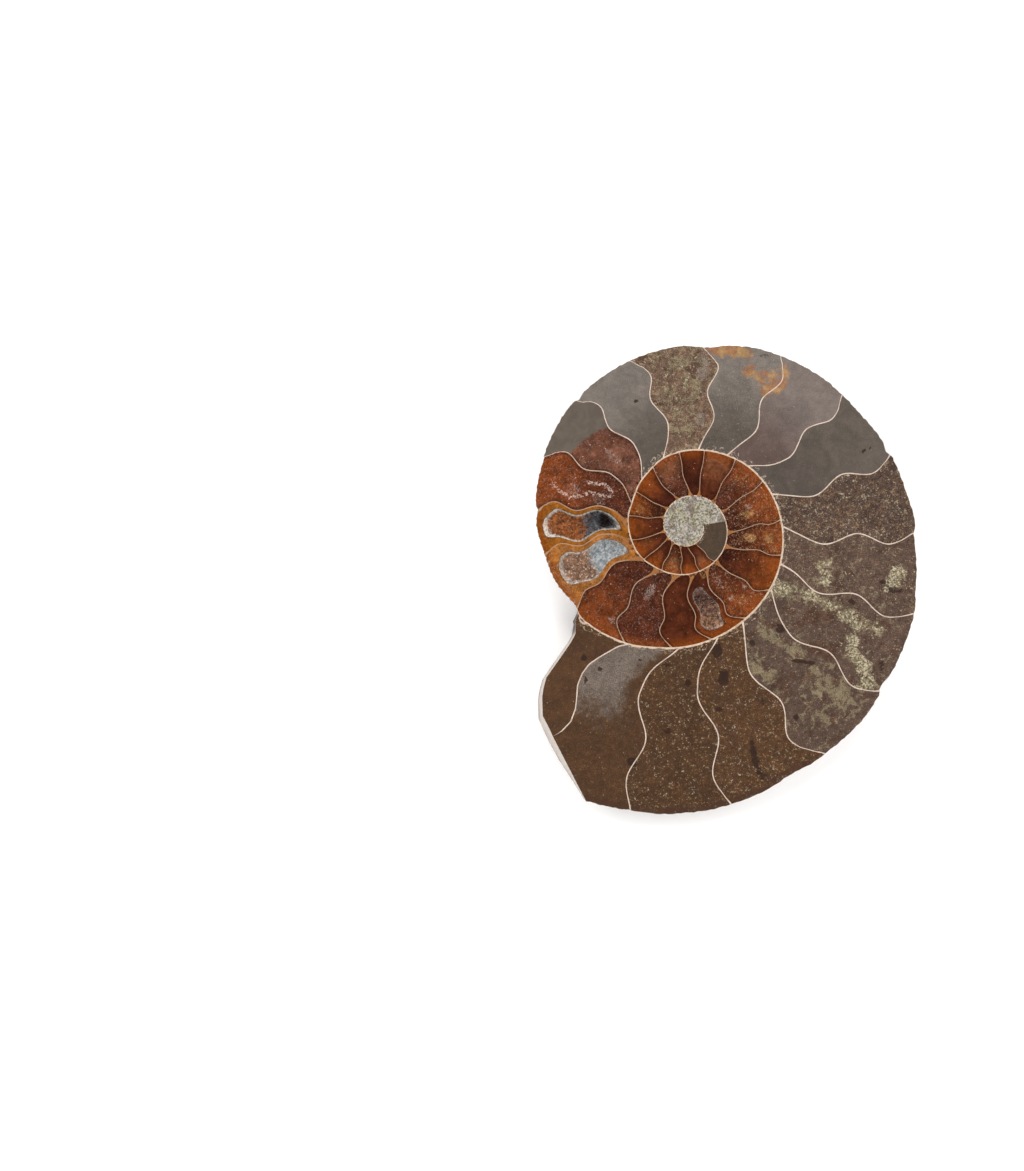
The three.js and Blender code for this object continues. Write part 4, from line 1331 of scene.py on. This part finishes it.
def build_crust(context, hollow, grid):
    """A closed crust over a hollow's plan: crystals on top, a plain underside, and upright sides."""
    colours = context.scene.fossil_colours
    wide, long = CRUST_CELLS
    sideways = np.linspace(-1.0, 1.0, wide + 1)[:, None] * np.ones(long + 1)
    along = np.ones(wide + 1)[:, None] * np.linspace(-1.0, 1.0, long + 1) * CRUST_TIP
    rounding = (1.0 - np.abs(along) ** HOLLOW_ROUNDING) ** (1.0 / HOLLOW_ROUNDING)
    low, high = hollow["reach"]
    across = 0.5 + (0.5 - hollow["margin"]) * sideways * rounding * CRUST_INSET
    height = 0.5 * (low + high) + 0.5 * (high - low) * along * CRUST_INSET
    place = grid.chamber_point(hollow["chamber"], across, height)
    measure, plan_sideways, plan_along = hollow_measure(hollow, across, height)
    depth = hollow_depth(hollow, plan_sideways, plan_along)
    size = context.scene.fossil_sizes.crystal / MM
    rise, tone = crystal_heights(place, measure, size, np.random.default_rng(hollow["seed"]))
    under = TOP - depth + CRUST_CLEARANCE
    lining = np.maximum(TOP - 2.0 * CRUST_SINK - (depth - HOLLOW_EDGE), under + CRUST_THICKNESS)
    upper = np.minimum(lining + rise, TOP - 0.5 * CRUST_SINK)
    points = np.concatenate(
        (np.dstack((place, upper)).reshape(-1, 3), np.dstack((place, under)).reshape(-1, 3))
    )
    index = np.arange((wide + 1) * (long + 1)).reshape(wide + 1, long + 1)
    lower = index + index.size
    border = np.concatenate((index[:-1, 0], index[-1, :-1], index[:0:-1, -1], index[0, :0:-1]))
    following = np.roll(border, -1)
    sides = np.concatenate((
        np.stack((border, border + index.size, following + index.size), axis=-1),
        np.stack((border, following + index.size, following), axis=-1),
    ))
    top_faces = grid_triangles(index, False)
    triangles = np.concatenate((top_faces, grid_triangles(lower, False)[:, ::-1], sides))
    first, second, third = (points[top_faces[:, corner]][:, :2] for corner in range(3))
    if cross(second - first, third - first).sum() < 0.0:
        triangles = triangles[:, ::-1]
    material = crystal_finish(hollow, colours)
    piece = make_object(hollow["name"], points, triangles, [material], np.zeros(len(triangles)))
    other = smooth_step(*hollow["second"], plan_along)
    # Where the painted shade of the deep lies: towards the inner end and away from the rim.
    deep = smooth_step(*hollow["deep"], plan_along) * smooth_step(*DEEP_SHADE_EDGE, measure)
    stored = {"crystal": tone, "rim": np.minimum(measure, 1.0), "second": other, "deep": deep}
    for name, values in stored.items():
        store_value(piece.data, name, np.tile(values.ravel(), 2))
    return piece


def build_floor(floor_colour):
    """A wide flat floor under the crest of the flank."""
    half = 1500.0
    points = np.array(((-half, -half, 0.0), (half, -half, 0.0), (half, half, 0.0), (-half, half, 0.0)))
    recipe = Recipe("pale_floor", roughness=0.8, specular=0.1)
    tone = recipe.noise(0.01, 2.0)
    material = recipe.finished(recipe.shade(floor_colour, recipe.ramp(tone, 0.2, 0.8, 0.985, 1.0)))
    floor = make_object("floor", points, np.array(((0, 1, 2), (0, 2, 3))), [material], np.zeros(2))


def build_light(name, place, power, size):
    """A soft square lamp that looks at the fossil."""
    lamp = bpy.data.lights.new(name, "AREA")
    lamp.energy = power
    lamp.size = size
    holder = bpy.data.objects.new(name, lamp)
    towards = Vector((0.0, 0.0, TOP * MM)) - Vector(place)
    holder.location = place
    holder.rotation_euler = towards.to_track_quat("-Z", "Y").to_euler()
    bpy.context.scene.collection.objects.link(holder)


def build_world():
    """Surroundings: dim overhead, pale towards the horizon."""
    world = bpy.data.worlds.new("studio")
    world.use_nodes = True
    tree = world.node_tree
    background = tree.nodes["Background"]
    direction = tree.nodes.new("ShaderNodeTexCoord")
    parts = tree.nodes.new("ShaderNodeSeparateXYZ")
    fade = tree.nodes.new("ShaderNodeMapRange")
    fade.interpolation_type = "SMOOTHSTEP"
    limits = {"From Min": 0.9, "From Max": 0.2, "To Min": 0.12, "To Max": 1.0}
    for name, value in limits.items():
        fade.inputs[name].default_value = value
    tree.links.new(direction.outputs["Generated"], parts.inputs[0])
    tree.links.new(parts.outputs["Z"], fade.inputs["Value"])
    tree.links.new(fade.outputs["Result"], background.inputs["Strength"])
    background.inputs["Color"].default_value = (1.0, 1.0, 1.0, 1.0)
    bpy.context.scene.world = world


def build_camera(settings):
    """Looks straight down on the cut face, with the fossil to the right of the middle."""
    aim = (-0.0503, -0.00133)
    farthest = 10.0
    camera = bpy.data.cameras.new("camera")
    camera.lens = settings.lens
    camera.clip_end = farthest
    holder = bpy.data.objects.new("camera", camera)
    holder.location = (*aim, TOP * MM + settings.camera_height)
    bpy.context.scene.collection.objects.link(holder)
    bpy.context.scene.camera = holder


class FOSSIL_OT_body(bpy.types.Operator):
    """Build the fossil half over its solid"""

    bl_idname = "fossil.body"
    bl_label = "Fossil Half"

    def execute(self, context):
        piece = build_body(context)
        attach(piece, "root")
        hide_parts(BODY_NODE)
        return {"FINISHED"}


class FOSSIL_OT_crusts(bpy.types.Operator):
    """Build the crystal crusts in the open chambers"""

    bl_idname = "fossil.crusts"
    bl_label = "Crystal Crusts"

    def execute(self, context):
        grid = FaceGrid(Spiral(context.scene.fossil_sizes))
        for hollow in HOLLOWS:
            piece = build_crust(context, hollow, grid)
            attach(piece, "root")
            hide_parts(hollow["node"])
        return {"FINISHED"}


class FOSSIL_OT_stage(bpy.types.Operator):
    """Build the floor, the lamps and the camera"""

    bl_idname = "fossil.stage"
    bl_label = "Stage"

    LAMPS = (
        ("lamp_left", (-0.85, 0.35, 1.1)), ("lamp_right", (0.85, 0.3, 1.1)),
        ("lamp_front", (-0.1, -0.9, 1.1)), ("lamp_back", (0.0, 0.9, 1.1)),
    )
    LAMP_SIZE = 0.8

    def execute(self, context):
        settings = context.scene.fossil_stage
        build_floor(settings.floor)
        build_world()
        for name, place in self.LAMPS:
            build_light(name, place, settings.light, self.LAMP_SIZE)
        build_camera(settings)
        context.scene.view_settings.view_transform = "Standard"
        return {"FINISHED"}


class FOSSIL_PT_panel(bpy.types.Panel):
    """Sidebar panel with the fossil's sizes, colours and steps"""

    bl_label = "Ammonite Fossil"
    bl_idname = "FOSSIL_PT_panel"
    bl_space_type = "VIEW_3D"
    bl_region_type = "UI"
    bl_category = "Fossil"

    def draw(self, context):
        scene = context.scene
        for group in (scene.fossil_sizes, scene.fossil_colours, scene.fossil_stage):
            box = self.layout.box()
            for name in group.bl_rna.properties.keys():
                if name not in ("rna_type", "name"):
                    box.prop(group, name)
        for operator in (FOSSIL_OT_body, FOSSIL_OT_crusts, FOSSIL_OT_stage):
            self.layout.operator(operator.bl_idname)


CLASSES = (
    FossilSizes, FossilColours, StageSettings,
    FOSSIL_OT_body, FOSSIL_OT_crusts, FOSSIL_OT_stage, FOSSIL_PT_panel,
)


def register():
    """Registers the classes and puts their settings on the scene."""
    for cls in CLASSES:
        bpy.utils.register_class(cls)
    bpy.types.Scene.fossil_sizes = PointerProperty(type=FossilSizes)
    bpy.types.Scene.fossil_colours = PointerProperty(type=FossilColours)
    bpy.types.Scene.fossil_stage = PointerProperty(type=StageSettings)


def unregister():
    """Takes the settings and the classes away again."""
    del bpy.types.Scene.fossil_stage
    del bpy.types.Scene.fossil_colours
    del bpy.types.Scene.fossil_sizes
    for cls in reversed(CLASSES):
        bpy.utils.unregister_class(cls)


def main():
    """Builds every piece and the stage."""
    register()
    bpy.ops.fossil.body()
    bpy.ops.fossil.crusts()
    bpy.ops.fossil.stage()
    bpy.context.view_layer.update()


if __name__ == "__main__":
    main()
